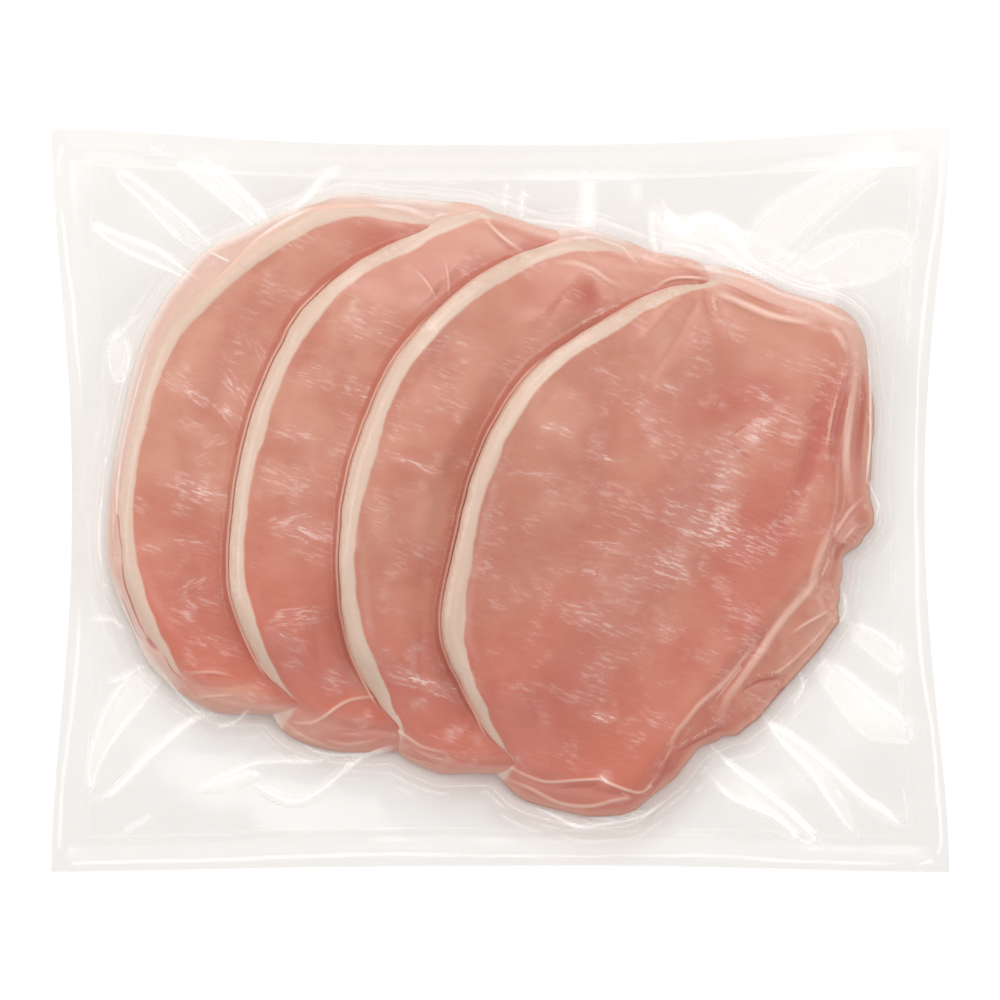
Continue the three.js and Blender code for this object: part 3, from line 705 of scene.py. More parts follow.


# Folds of the film round the meat: the half-width of the line they show as, how white it is, how milky the
# leaf of film is that it runs round, and its points. The white of a line is partly the film's crease and
# partly a painted highlight.
filmFolds = [
    fold(1.1, 0.45, 0.4, [68.5, 72.5], [72.5, 78.5], [78.5, 83.5], [86, 87.5], [91.5, 90], [96, 94],
        [102, 96], [106, 96.5], [108, 94], [102, 89], [96, 85.5], [90.5, 80.5], [84.5, 75], [75, 66.5]),
    fold(0.5, 0.5, 0, [79.5, 65.5], [86.5, 72.5], [91.5, 77.5], [99, 84], [105.5, 89]),
    fold(0.8, 0.5, 0.4, [86.5, 59.5], [93, 59.5], [100.5, 60.5], [107.5, 63], [112.5, 66.5],
        [114.5, 70.5], [112.5, 73.5], [109, 74.5], [106, 75], [99, 74], [93, 72.5], [86.5, 69],
        [81.5, 64.5]),
    fold(0.45, 0.5, 0, [86.5, 64], [93, 68], [99, 71.5]),
    fold(0.4, 0.5, 0, [117.5, 86], [115.5, 72], [114, 56], [113.5, 40]),
    fold(0.6, 0.45, 0, [5.5, 90], [16.5, 89.5], [28, 90], [39, 89]),
    fold(0.6, 0.45, 0, [2, 88], [1.5, 84.5], [1.5, 81]),
    fold(0.8, 0.55, 0, [6.5, 86], [6, 82.5], [6, 78.5]),
    fold(2, 0.8, 0, [24.5, 89], [24.5, 82.5], [24.5, 75.5]),
    fold(1.8, 0.35, 0, [38, 89], [38, 83]),
    fold(1, 0.7, 0, [42.5, 80.5], [42.5, 74.5], [43.5, 68.5]),
    fold(1.2, 0.8, 0, [45.5, 82.5], [47.5, 77.5], [51.5, 74], [55.5, 78.5], [59.5, 78.5], [63.5, 76],
        [67.5, 71.5]),
    fold(0.5, 0, 0.6, [43, 80], [47.5, 77.5], [51.5, 74], [55.5, 78.5], [59.5, 78.5], [63.5, 76],
        [67.5, 72], [72, 64.5], [65.5, 66], [55.5, 69], [44.5, 69.5]),
    fold(0.45, 0.8, 0, [59.5, 70.5], [66.5, 66], [73.5, 62.5]),
    fold(0.6, 0.5, 0.45, [97.5, -38.5], [100.5, -40.5], [104, -43.5], [110, -48], [112.5, -46],
        [111, -43], [107.5, -39], [102, -36], [97.5, -34]),
    fold(0.7, 0.5, 0.55, [87.5, -46.5], [92.5, -54.5], [97.5, -61.5], [102, -66], [108.5, -67],
        [113.5, -67.5], [114.5, -64.5], [112, -61.5], [105, -56], [97, -49], [90, -44]),
    fold(0.6, 1, 0, [73.5, -60.5], [79, -68], [86, -75.5], [91.5, -83.5], [97, -91], [99.5, -92.5]),
    fold(0.7, 0.8, 0, [113, -91.5], [106.5, -86.5], [101, -83], [92.5, -75.5], [83.5, -68],
        [74.5, -61.5]),
    fold(0.5, 0, 0.5, [74, -61], [79, -68], [86, -75.5], [91.5, -83.5], [97, -91], [99.5, -92], [97, -84],
        [94, -79.5], [101, -86], [108, -91], [112, -90], [106.5, -86.5], [92.5, -75.5], [83.5, -68]),
    fold(0.4, 0.5, 0, [112, -80], [113, -85.5], [113.5, -91]),
    fold(0.55, 1, 0.3, [57.5, -75], [63, -82], [70, -85.5], [77.5, -89], [83.5, -94.5], [88.5, -95.5],
        [87, -93.5], [83.5, -90], [77.5, -84.5], [70, -79], [64, -74], [59, -68.5]),
    fold(0.5, 0.5, 0, [48.5, -93.5], [55, -93.5], [61, -94]),
    fold(0.5, 0.7, 0, [81.5, -57.5], [84.5, -52.5], [83.5, -48.5]),
    fold(0.6, 0.6, 0, [-114.5, -33.5], [-108.5, -33.5], [-104.5, -36]),
    fold(0.6, 0.6, 0, [-109.5, -51], [-104.5, -49.5], [-99.5, -46]),
    fold(0.5, 0.7, 0.4, [-99.5, -46], [-105, -51.5], [-109.5, -58.5], [-112.5, -66.5], [-114.5, -74],
        [-113.5, -80], [-112.5, -76.5], [-111, -72.5], [-106, -65], [-100, -57.5], [-93.5, -49]),
    fold(0.9, 1, 0, [-81.5, -59.5], [-85, -61], [-91.5, -66], [-98.5, -72.5], [-104.5, -78.5],
        [-108.5, -82], [-112, -83]),
    fold(0.5, 0.8, 0, [-93, -49.5], [-88.5, -55], [-83.5, -59.5], [-79, -60]),
    fold(0.6, 0.7, 0, [-70, -58.5], [-73.5, -61.5], [-78.5, -63.5]),
    fold(0.6, 0.8, 0, [-49, -72], [-51.5, -73], [-61.5, -73], [-68.5, -73.5], [-75, -76], [-80, -78.5],
        [-84, -81]),
    fold(0.5, 0, 0.6, [-68.5, -73.5], [-75, -76], [-82, -79.5], [-84, -81], [-79, -81.5], [-72.5, -80],
        [-67, -77.5]),
    fold(0.6, 1, 0, [-67.5, -80], [-61.5, -83], [-56, -84], [-50, -81], [-44.5, -76.5], [-38, -71.5],
        [-30.5, -68.5]),
    fold(0.45, 0.7, 0, [-52, -83], [-46, -77.5], [-41, -72]),
    fold(1, 0.6, 0, [-105, -92.5], [-101, -90.5], [-97, -88]),
    fold(0.5, 0.8, 0.25, [-87.5, 61.5], [-91, 63.5], [-98.5, 66.5], [-106.5, 70.5], [-112.5, 75],
        [-112.5, 76], [-105, 73], [-97, 70], [-90.5, 66], [-85.5, 62.5]),
    fold(0.5, 0.8, 0.25, [-85, 70], [-88, 71.5], [-93, 76], [-99.5, 83], [-105.5, 88.5], [-105.5, 91],
        [-98.5, 86.5], [-91, 80.5], [-85, 75], [-81, 71.5]),
    fold(0.55, 0.9, 0, [-69.5, 77], [-76.5, 83], [-83, 88.5], [-90.5, 94]),
    fold(0.8, 0.8, 0, [-83, 95], [-76.5, 90], [-70.5, 84], [-65, 78.5]),
    fold(0.5, 0, 0.6, [-69.5, 77], [-76.5, 83], [-83, 88.5], [-88.5, 92.5], [-83, 95.5], [-76.5, 90],
        [-70.5, 84], [-65, 78.5]),
    fold(1.1, 0.8, 0, [-58, 81], [-54, 84], [-50, 88.5], [-45.5, 92.5]),
    fold(0.6, 0.6, 0, [-97.5, 98], [-93, 96.5], [-89, 94]),
    fold(0.5, 0.6, 0.5, [-107, 47.5], [-109, 41], [-107.5, 33.5], [-104.5, 34], [-103.5, 40], [-105, 46]),
    fold(0.5, 0.5, 0, [-101, 51.5], [-106, 46], [-110, 43]),
    fold(0.55, 1, 0, [9, -85.5], [15, -88], [20, -90.5], [23.5, -91], [31.5, -90], [38.5, -88.5],
        [41.5, -87], [45, -84.5]),
    fold(0.4, 0.7, 0, [25, -88.5], [31.5, -88.5], [39, -86.5]),
    fold(0.55, 0.9, 0, [-55.5, -68], [-51.5, -70], [-47, -71], [-41.5, -71], [-34.5, -70.5],
        [-30.5, -69.5]),
    fold(0.42, 0.9, 0, [102.5, 41.5], [103, 33.5], [103, 25], [103, 16.5], [102.5, 11], [102, 5.5]),
    fold(0.42, 0.7, 0, [102.5, 5.5], [104, 2], [105.5, -1.5], [104.5, -6]),
    fold(0.5, 0.7, 0, [95.5, -25], [96.5, -30.5], [94.5, -34.5]),
    fold(0.7, 0.5, 0, [52, 65], [60.5, 63.5], [69, 61.5], [77.5, 57.5], [86, 55], [93.5, 51], [99, 49]),
    fold(0.7, 0.5, 0, [5.5, 78], [16.5, 77], [27.5, 74.5]),
    fold(0.5, 0, 0.5, [44, 69], [60, 65.5], [75, 60.5], [85, 56.5], [92, 53.5], [95, 57], [90, 63],
        [80, 70], [62, 78], [47, 80]),
]

# Where the film shines white on the steaks, as x, y, half length, half width, the way it runs and the amount.
glarePatches = [
    [71, 17.6, 6, 4.5, 40, 1], [63, 8, 7, 5, 60, 0.9], [75, 24, 6, 4, 120, 0.25],
    [38.7, 26, 6, 3.5, -50, 0.5], [48.3, -1.6, 6, 4, 20, 0.6], [65.5, 30.5, 6, 3, 0, 0.4],
    [80, 12, 5, 12, 0, 0.3], [58, -6, 10, 5, 30, 0.5], [48, -14, 12, 5, 30, 0.4],
    [35, -27, 12, 5, 10, 0.35], [-52, 57, 5, 3, 10, 0.5], [-18, 50, 6, 4, 30, 0.5],
    [-8, -8, 8, 5, 20, 0.2], [-40, 52, 6, 3, 30, 0.3],
]

# Where the film is crinkled on the steaks, with painted white glints: from x, y to x, y, then half-width and
# strength.
crinkles = [
    [11, 20.5, 19.5, 18, 0.8, 1], [24, 13, 31.5, 10.5, 0.8, 0.9], [0, 8, 18.5, 5.5, 0.8, 0.5],
    [35.5, 29, 44.5, 20.5, 2.5, 0.7], [38.5, 34.5, 52, 28.5, 1.6, 0.6], [54, 8, 67, 20, 3.8, 0.5],
    [45.5, -1.5, 70.5, -14, 4.1, 1], [38.5, -16, 52.5, -21, 3.3, 0.8], [32.5, -22, 45.5, -23.5, 2.2, 0.6],
    [16.5, -29, 35.5, -37, 2.7, 0.6], [43, -33, 50, -36.5, 1.1, 0.6], [22, -12, 39.5, -14, 1.1, 0.6],
    [13.5, -19, 28, -20.5, 1.1, 0.5], [23, -2.5, 34.5, -5.5, 2.2, 0.35], [25, 36.5, 33.5, 32, 1.1, 0.5],
    [55, -1.5, 68, 8.5, 3.3, 0.6], [67, 14, 76, 25, 3.6, 0.5], [61, -27.5, 72, -33, 2.2, 0.4],
    [25.5, -59, 31, -60.5, 1.1, 1.3], [28, -76.5, 31, -79, 0.7, 1], [27.5, 55, 38.5, 49.5, 2.7, 0.4],
    [-93, 34.5, -81.5, 27, 1.4, 1], [-78.5, 26.5, -72, 21, 1.1, 1], [-76, 34, -70.5, 28, 1.4, 0.8],
    [-67, 43, -64, 35, 1.6, 0.5], [-83, 14.5, -76.5, 17, 1.1, 0.6], [-91.5, 5.5, -75, -1, 2.2, 0.9],
    [-99.5, -12, -94.5, -14.5, 0.8, 0.8], [-94, -11, -78, -13.5, 1.4, 0.5],
    [-90, -26, -79.5, -20.5, 1.1, 0.5], [-87.5, -37, -73, -42, 1.9, 0.4], [-60, 35, -48, 31.5, 1.1, 0.5],
    [-42.5, 32.5, -35, 27.5, 2.2, 0.7], [-62.5, 19, -50, 17, 1.6, 0.5], [-62, -6, -51.5, -3.5, 0.8, 0.9],
    [-61, -7, -45.5, -9.5, 2.2, 0.9], [-64, -32.5, -49, -31, 1.6, 0.6],
    [-65, -34.5, -55.5, -39.5, 1.4, 0.6], [-41, 55, -27.5, 46.5, 2.7, 0.4],
    [-29.5, 12.5, -17, 7.5, 0.8, 0.9], [-29.5, -47.5, -11.5, -53.5, 1.6, 1.1],
    [-19, 46.5, -8, 41, 2.2, 0.5], [-27.5, -11, -16.5, -16.5, 1.6, 0.4], [16.5, 46.5, 27.5, 41, 1.6, 0.4],
    [22, 48.8, 33.6, 53.4, 1.4, 0.9], [-57.6, 52, -53, 52.3, 0.6, 1],
]


def foldRelief(x, y):  # height added, distance to the line that shows, its half-width and tone, and milkiness
    height, off, half, tone = noLines(len(x))
    milky = np.zeros(len(x))
    tip, faint = bag["foldTip"], bag["foldFaint"]
    for crest in filmFolds:
        path = evenPoints(crest["path"], trace["foldPoints"], closed=False)
        near = nearPath(path, x, y)
        away, along = sideOfPath(path, x[near], y[near])
        ends = smoothStep(along, 0, tip) * smoothStep(-along, -1, tip - 1)
        outside = np.abs(away) - crest["half"]
        shows = crest["tone"] * (faint + (1 - faint) * ends) * (1 - smoothStep(outside, *bag["foldFade"]))
        height[near] += bag["foldHeight"] * crest["tone"] * ends * bump(away, crest["half"] + bag["foldFoot"])
        if crest["fill"] > 0:
            depth = depthInside(path, x[near], y[near])
            milky[near] = np.maximum(milky[near], crest["fill"] * smoothStep(depth, *bag["milkyFade"]))
            height[near] += bag["leafHeight"] * crest["fill"] * smoothStep(depth, *bag["leafFade"])
        more = (shows > 0) & (outside < np.abs(off[near]) - half[near])
        place = near[more]
        off[place] = away[more]
        half[place] = crest["half"]
        tone[place] = shows[more]
    return height, off, half, tone, milky


def crinkleMap(x, y):  # how crinkled the film is, and the way along and across the crinkles
    mask = np.zeros(len(x))
    turn = math.radians(bag["crinkleTurn"])
    along = x * math.cos(turn) + y * math.sin(turn)
    across = y * math.cos(turn) - x * math.sin(turn)
    spread, soft = bag["crinkleSpread"]
    reach, tip = bag["crinkleReach"]
    for xa, ya, xb, yb, half, strength in crinkles:
        length = math.hypot(xb - xa, yb - ya)
        ux, uy = (xb - xa) / length, (yb - ya) / length
        run = (x - xa) * ux + (y - ya) * uy
        off = (y - ya) * ux - (x - xa) * uy
        here = strength * bump(off, spread * half + soft) * bump(run - length / 2, length * reach + tip)
        more = here > mask
        mask[more] = here[more]
        if half < bag["loneCrinkle"]:  # a single crinkle runs its own way, and a patch of them the common way
            along[more] = run[more] + bag["crinkleShift"][0] * xa
            across[more] = off[more] + bag["crinkleShift"][1] * ya
    return mask, along, across


def makeFilmBag():
    linesX, linesY = gridLines(bag["width"] / 2), gridLines(bag["depth"] / 2)
    top, i, j = addSheet(linesX, linesY)
    x, y = sheetPoint(linesX[i], linesY[j])
    lift, away = sheetLift(x, y)
    edge = edgeDistance(linesX[i], linesY[j])
    opened = smoothStep(edge, bag["sealWidth"], bag["sealWidth"] + bag["sealStep"])
    sheet = lift + bag["sealGap"] + (bag["plyGap"] - bag["sealGap"]) * opened
    tree = steakTree()
    meat = meatHeight(tree, x, y)
    shape = (len(linesX), len(linesY))
    block = np.zeros(shape)
    block[i, j] = np.maximum(sheet, meat)
    steep = np.nonzero((highestBeside(block) - block > bag["steepStep"])[i, j])[0]
    crown = meat.copy()
    for bearing in np.arange(8) * math.pi / 4:  # the film stands a cell off a steep side
        besideX = x[steep] + bag["cell"] * math.cos(bearing)
        besideY = y[steep] + bag["cell"] * math.sin(bearing)
        crown[steep] = np.maximum(crown[steep], meatHeight(tree, besideX, besideY))
    block[i, j] = np.maximum(sheet, np.where(crown > 0, crown + bag["cling"], 0))
    for _ in range(bag["wallPasses"]):
        block = np.maximum(block, highestBeside(block) - bag["wallSlope"] * bag["cell"])
    film = block.copy()
    pull = np.full(shape, bag["pull"] / 4)
    pull[i, j] = np.where(meat > 0, bag["pullOnMeat"], bag["pull"]) / 4
    for _ in range(bag["settling"]):  # pulled down, and held up by its tension and by what it lies on
        mean = (film[:-2, 1:-1] + film[2:, 1:-1] + film[1:-1, :-2] + film[1:-1, 2:]) / 4
        film[1:-1, 1:-1] = np.maximum(block[1:-1, 1:-1], mean - pull[1:-1, 1:-1])
    z = film[i, j]
    foldRise, foldOff, foldHalf, foldTone, milky = foldRelief(x, y)
    z = z + foldRise
    writeVertices(top, np.column_stack([x, y, z]) * mm)
    wander = roughness(x, y, **bag["wander"])
    patches = roughness(x, y, **bag["patches"])
    crinkle, along, across = crinkleMap(x, y)
    onMeat = np.where(meat > 0, 1 - smoothStep(z - meat, *bag["clingFade"]), 0)
    smooth = bag["smoothRim"]
    for place in placed:  # smooth over the rims of fat
        rim = depthInside(place["gauge"], x, y)
        onRim = leftRimMask(place, x, y) * bump(rim - smooth["depth"], smooth["half"])
        crinkle *= 1 - onRim
        patches = patches - smooth["amount"] * onRim

    ratio = bag["underRatio"]
    coarseX, coarseY = linesX[::ratio], linesY[::ratio]
    under, i, j = addSheet(coarseX, coarseY)
    ux, uy = sheetPoint(coarseX[i], coarseY[j])
    underEdge = edgeDistance(coarseX[i], coarseY[j])
    writeVertices(under, np.column_stack([ux, uy, sheetLift(ux, uy)[0]]) * mm)
    bpy.ops.object.mode_set(mode="EDIT")
    bpy.ops.mesh.select_all(action="SELECT")
    bpy.ops.mesh.flip_normals()
    bpy.ops.object.mode_set(mode="OBJECT")
    top.select_set(True)
    bpy.context.view_layer.objects.active = top
    bpy.ops.object.join()
    top.name = "film_bag"
    bpy.ops.object.mode_set(mode="EDIT")
    bpy.ops.mesh.select_mode(type="EDGE")
    bpy.ops.mesh.select_all(action="DESELECT")
    bpy.ops.mesh.select_non_manifold()
    bpy.ops.mesh.bridge_edge_loops()
    bpy.ops.mesh.select_all(action="SELECT")
    bpy.ops.mesh.normals_make_consistent(inside=False)
    bpy.ops.object.mode_set(mode="OBJECT")
    shade = aroundCircle(bag["shade"], np.degrees(np.arctan2(y, x)))
    values = {
        "away": away, "foldOff": foldOff, "foldHalf": foldHalf, "foldTone": foldTone, "milky": milky,
        "crinkle": crinkle, "crinkleAlong": along, "crinkleAcross": across, "onMeat": onMeat,
        "wander": wander, "patches": patches, "glare": patchTint(glarePatches, x, y), "shade": shade,
    }
    for name, value in values.items():
        writeAttribute(top, name, np.concatenate([value, np.zeros(len(ux))]))
    writeAttribute(top, "edgeDepth", np.concatenate([edge, underEdge]))
    for material in (filmRound, filmOnMeat, filmUnder):
        top.data.materials.append(material)
    faces = [list(face.vertices) for face in top.data.polygons]
    lowFace = [max(face) >= len(x) for face in faces]
    clings = (onMeat > 0) & (foldTone == 0)
    meatFace = [not low and all(clings[v] for v in face) for low, face in zip(lowFace, faces)]
    slots = np.where(lowFace, 2, np.where(meatFace, 1, 0)).astype(np.int32)
    top.data.polygons.foreach_set("material_index", slots)
    bpy.ops.object.shade_smooth()
    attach(top, "root")
    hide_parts("vacuum_pack")
    return top


# Materials
def newMaterial(name):
    material = bpy.data.materials.new(name)
    material.use_nodes = True
    material.node_tree.nodes.clear()
    return material, material.node_tree


def addNode(tree, kind, settings=None, **inputs):  # an input is a value or another node's output
    node = tree.nodes.new(kind)
    for key, value in (settings or {}).items():
        setattr(node, key, value)
    for key, value in inputs.items():
        socket = node.inputs[int(key[1:])] if key[0] == "_" else node.inputs[key.replace("_", " ")]
        if isinstance(value, bpy.types.NodeSocket):
            tree.links.new(value, socket)
        else:
            socket.default_value = value
    return node


def showSurface(tree, shader):
    out = addNode(tree, "ShaderNodeOutputMaterial")
    tree.links.new(shader.outputs[0], out.inputs["Surface"])


def mixShaders(tree, share, first, second):
    mix = addNode(tree, "ShaderNodeMixShader", Fac=share)
    tree.links.new(first.outputs[0], mix.inputs[1])
    tree.links.new(second.outputs[0], mix.inputs[2])
    return mix


def attribute(tree, name):
    return addNode(tree, "ShaderNodeAttribute", {"attribute_name": name}).outputs["Fac"]


def placeOn(tree):
    return addNode(tree, "ShaderNodeTexCoord").outputs["Object"]


def noiseField(tree, place, scale, detail=2.0, rugged=0.5):
    node = addNode(tree, "ShaderNodeTexNoise", Vector=place, Scale=scale, Detail=detail, Roughness=rugged)
    return node.outputs["Fac"]


def ramp(tree, value, low, high, toLow=0.0, toHigh=1.0, kind="SMOOTHSTEP"):
    node = addNode(tree, "ShaderNodeMapRange", {"interpolation_type": kind}, Value=value,
                   From_Min=low, From_Max=high, To_Min=toLow, To_Max=toHigh)
    return node.outputs["Result"]


def sums(tree, kind, a, b=0.0):
    return addNode(tree, "ShaderNodeMath", {"operation": kind}, _0=a, _1=b).outputs[0]


def product(tree, *factors):
    result = factors[0]
    for factor in factors[1:]:
        result = sums(tree, "MULTIPLY", result, factor)
    return result


def total(tree, *terms):
    result = terms[0]
    for term in terms[1:]:
        result = sums(tree, "ADD", result, term)
    return result


def band(tree, value, middle, half):  # 1 in the middle, 0 from half outwards
    return ramp(tree, sums(tree, "ABSOLUTE", sums(tree, "SUBTRACT", value, middle)), 0, half, 1, 0)


def lineShare(tree, name, low, high):  # 1 on a line and 0 past it; low and high are shares of its half-width
    off = sums(tree, "ABSOLUTE", attribute(tree, name + "Off"))
    return ramp(tree, sums(tree, "DIVIDE", off, attribute(tree, name + "Half")), low, high, 1, 0)


def bumped(tree, strength, distance, height):
    return addNode(tree, "ShaderNodeBump", Strength=strength, Distance=distance, Height=height).outputs[0]


def mixColour(tree, share, a, b):
    node = addNode(tree, "ShaderNodeMix", {"data_type": "RGBA"})
    for index, value in ((0, share), (6, a), (7, b)):
        if isinstance(value, bpy.types.NodeSocket):
            tree.links.new(value, node.inputs[index])
        else:
            node.inputs[index].default_value = (*value, 1) if isinstance(value, tuple) else value
    return node.outputs[2]


pork = {
    "lean": (0.548, 0.199, 0.134),
    "leanLight": (0.62, 0.28, 0.196),
    "leanDark": (0.475, 0.147, 0.102),
    "leanRed": (0.555, 0.14, 0.09),
    "leanDeep": (0.50, 0.13, 0.086),
    "leanPale": (0.66, 0.35, 0.25),
    "ridge": (0.79, 0.49, 0.395),
    "crease": (0.48, 0.115, 0.08),
    "fat": (0.685, 0.505, 0.405),
    "fatDeep": (0.665, 0.475, 0.37),
    "spreadFat": (0.70, 0.46, 0.39),
    "edge": (0.81, 0.53, 0.45),
    "foot": (0.86, 0.74, 0.68),
    "gapCreaseHighlight": (0.90, 0.58, 0.46),
    "gapShadow": (0.36, 0.12, 0.075),
    "mottleSize": 20,
    "blotchSize": 7,
    "fibreSize": 2.6,
    "fibreStretch": 5,
    "fibreTurn": -22,
    "fibreRugged": 0.65,
    "fatWander": 1.2,
    "fibreRelief": 0.5,
    "blotchRelief": 0.8,
    "lineRelief": 0.6,
    "bump": (0.6, 0.0005),
    "specular": 0.3,
}

# The layers of the lean: what each follows, from and to which value, its share at both, its colour and the
# kind of its curve.
leanLayers = [
    ("mottle", 0.36, 0.64, 0, 1, "leanLight", "SMOOTHSTEP"),
    ("blotch", 0.5, 0.75, 0, 0.3, "leanDark", "SMOOTHSTEP"),
    ("fibre", 0.4, 0.7, 0, 0.16, "leanLight", "SMOOTHSTEP"),
    ("along", -0.2, -0.95, 0, 0.9, "leanRed", "SMOOTHSTEP"),
    ("along", 0.3, 1, 0, 0.6, "leanLight", "SMOOTHSTEP"),
    ("tint", 0, 1.2, 0, 1, "leanDeep", "LINEAR"),
    ("tint", 0, -1, 0, 0.8, "leanPale", "LINEAR"),
    # darker and redder towards the edge of the slice lying above: painted shade
    ("underGap", 0, 5.5, 0.75, 0, "leanDeep", "SMOOTHSTEP"),
    ("edgePale", 0, 1, 0, 1, "edge", "LINEAR"),
]


def makePork():
    material, tree = newMaterial("rawPork")
    place = placeOn(tree)
    fine = pork["fibreSize"] * mm
    turned = addNode(tree, "ShaderNodeMapping", {"vector_type": "TEXTURE"}, Vector=place,
                     Rotation=(0, 0, math.radians(pork["fibreTurn"])),
                     Scale=(pork["fibreStretch"] * fine, fine, fine)).outputs[0]
    mottle = noiseField(tree, place, 1 / (pork["mottleSize"] * mm))
    blotch = noiseField(tree, place, 1 / (pork["blotchSize"] * mm))
    fibre = noiseField(tree, turned, 1.0, rugged=pork["fibreRugged"])
    layers = {"mottle": mottle, "blotch": blotch, "fibre": fibre}
    for name in ("along", "tint", "underGap", "edgePale"):
        layers[name] = attribute(tree, name)
    lean = pork["lean"]
    for name, low, high, toLow, toHigh, shade, kind in leanLayers:
        lean = mixColour(tree, ramp(tree, layers[name], low, high, toLow, toHigh, kind), lean, pork[shade])

    edge = product(tree, sums(tree, "SUBTRACT", blotch, 0.5), pork["fatWander"])
    fatDepth = total(tree, attribute(tree, "fatDepth"), edge)
    rim = mixColour(tree, ramp(tree, fatDepth, 1.6, 4.2), pork["fat"], pork["fatDeep"])
    colour = mixColour(tree, ramp(tree, fatDepth, -0.45, 0.45), lean, rim)
    footPale = attribute(tree, "footPale")
    spreadFat = attribute(tree, "spreadFat")
    side = mixColour(tree, footPale, pork["spreadFat"], pork["foot"])
    side = mixColour(tree, ramp(tree, layers["tint"], 0, 1, 0, 1, "LINEAR"), side, pork["leanPale"])
    colour = mixColour(tree, spreadFat, colour, side)
    leanFoot = product(tree, footPale, 0.5, ramp(tree, spreadFat, 0, 1, 1, 0))
    colour = mixColour(tree, leanFoot, colour, pork["ridge"])

    # Lines on the steaks: pale on ridges, partly tissue and partly painted highlight, and dark in creases,
    # painted shade
    lineTone = attribute(tree, "lineTone")
    line = lineShare(tree, "line", 0.3, 1.3)
    pale = mixColour(tree, spreadFat, pork["ridge"], pork["foot"])
    colour = mixColour(tree, product(tree, line, sums(tree, "MAXIMUM", lineTone, 0.0)), colour, pale)
    dark = product(tree, line, sums(tree, "MAXIMUM", product(tree, lineTone, -1.0), 0.0))
    colour = mixColour(tree, dark, colour, pork["crease"])
    # Beside the rim of the slice above: a pale line, the film's crease along the step with a painted
    # highlight, and next to the rim a dark line, painted shadow in the gap
    underGap = layers["underGap"]
    underRim = attribute(tree, "underRim")
    highlightByGap = product(tree, band(tree, underGap, 1.35, 0.55), ramp(tree, underRim, 0.5, 1), 0.95)
    colour = mixColour(tree, highlightByGap, colour, pork["gapCreaseHighlight"])
    shadowInGap = product(tree, band(tree, underGap, 0.66, 0.4), underRim, 0.85)
    colour = mixColour(tree, shadowInGap, colour, pork["gapShadow"])

    relief = total(tree, product(tree, fibre, pork["fibreRelief"]),
                   product(tree, blotch, pork["blotchRelief"]),
                   product(tree, line, lineTone, pork["lineRelief"]))
    dullness = ramp(tree, blotch, 0.3, 0.7, 0.42, 0.6)
    skin = addNode(tree, "ShaderNodeBsdfPrincipled", Base_Color=colour, Roughness=dullness, IOR=1.4,
                   Normal=bumped(tree, *pork["bump"], relief), Specular_IOR_Level=pork["specular"])
    showSurface(tree, skin)
    return material


clear = {
    "through": (0.932, 0.921, 0.911),
    # the next tint darkens the film beside the steaks: a painted shadow, warmed a little by their juice
    "juiceAndShadow": (0.87, 0.808, 0.778),
    "milk": (0.95, 0.93, 0.91),
    "milkOnMeat": (0.90, 0.73, 0.67),
    "haze": 0.012,
    "sealHaze": 0.06,
    "foldHazeAndHighlight": 0.55,
    "foldFill": 0.42,
    "haloHazeAndHighlight": 0.2,
    "besideLitHaze": 0.2,
    "lineHaze": 0.08,
    "crinkleGlint": 0.5,
    "crinkleSheen": 0.12,
    "glareHaze": 0.4,
    "foldRelief": 0.14,
    "haloRelief": 0.12,
    "lineRelief": 0.15,
    "bump": (0.8, 0.0006),
    "bumpOnMeat": (0.8, 0.0002),
    "bumpUnder": (0.5, 0.001),
    "gloss": 0.1,
    "glossOnMeat": 0.3,
    "mirror": 0.035,
    "edgeMirror": 0.34,
    "edgeMirrorOnMeat": 0.2,
    "falloff": 4,
    "sealBlur": 0.4,
    "lineFromSeal": 1.3,
    "lineHalf": 0.9,
    "streakScale": (0.25, 1.1),
    "streakRugged": 0.65,
    "fleckScale": 130.0,
    "crackScale": 150.0,
    "fleckRugged": 0.6,
    "rippleScale": 60.0,
}


def makeSheet(tree, through, haze, gloss, normal, where=""):  # clear, milky by the share of haze, and glossy
    seeThrough = addNode(tree, "ShaderNodeBsdfTransparent", Color=through)
    milk = addNode(tree, "ShaderNodeBsdfDiffuse", Color=(*clear["milk" + where], 1))
    shine = addNode(tree, "ShaderNodeBsdfAnisotropic", Color=(1, 1, 1, 1), Roughness=gloss, Normal=normal)
    facing = addNode(tree, "ShaderNodeLayerWeight", Blend=0.5, Normal=normal)
    grazing = sums(tree, "POWER", facing.outputs["Facing"], clear["falloff"])
    mirror = ramp(tree, grazing, 0, 1, clear["mirror"], clear["edgeMirror" + where], "LINEAR")
    showSurface(tree, mixShaders(tree, mirror, mixShaders(tree, haze, seeThrough, milk), shine))


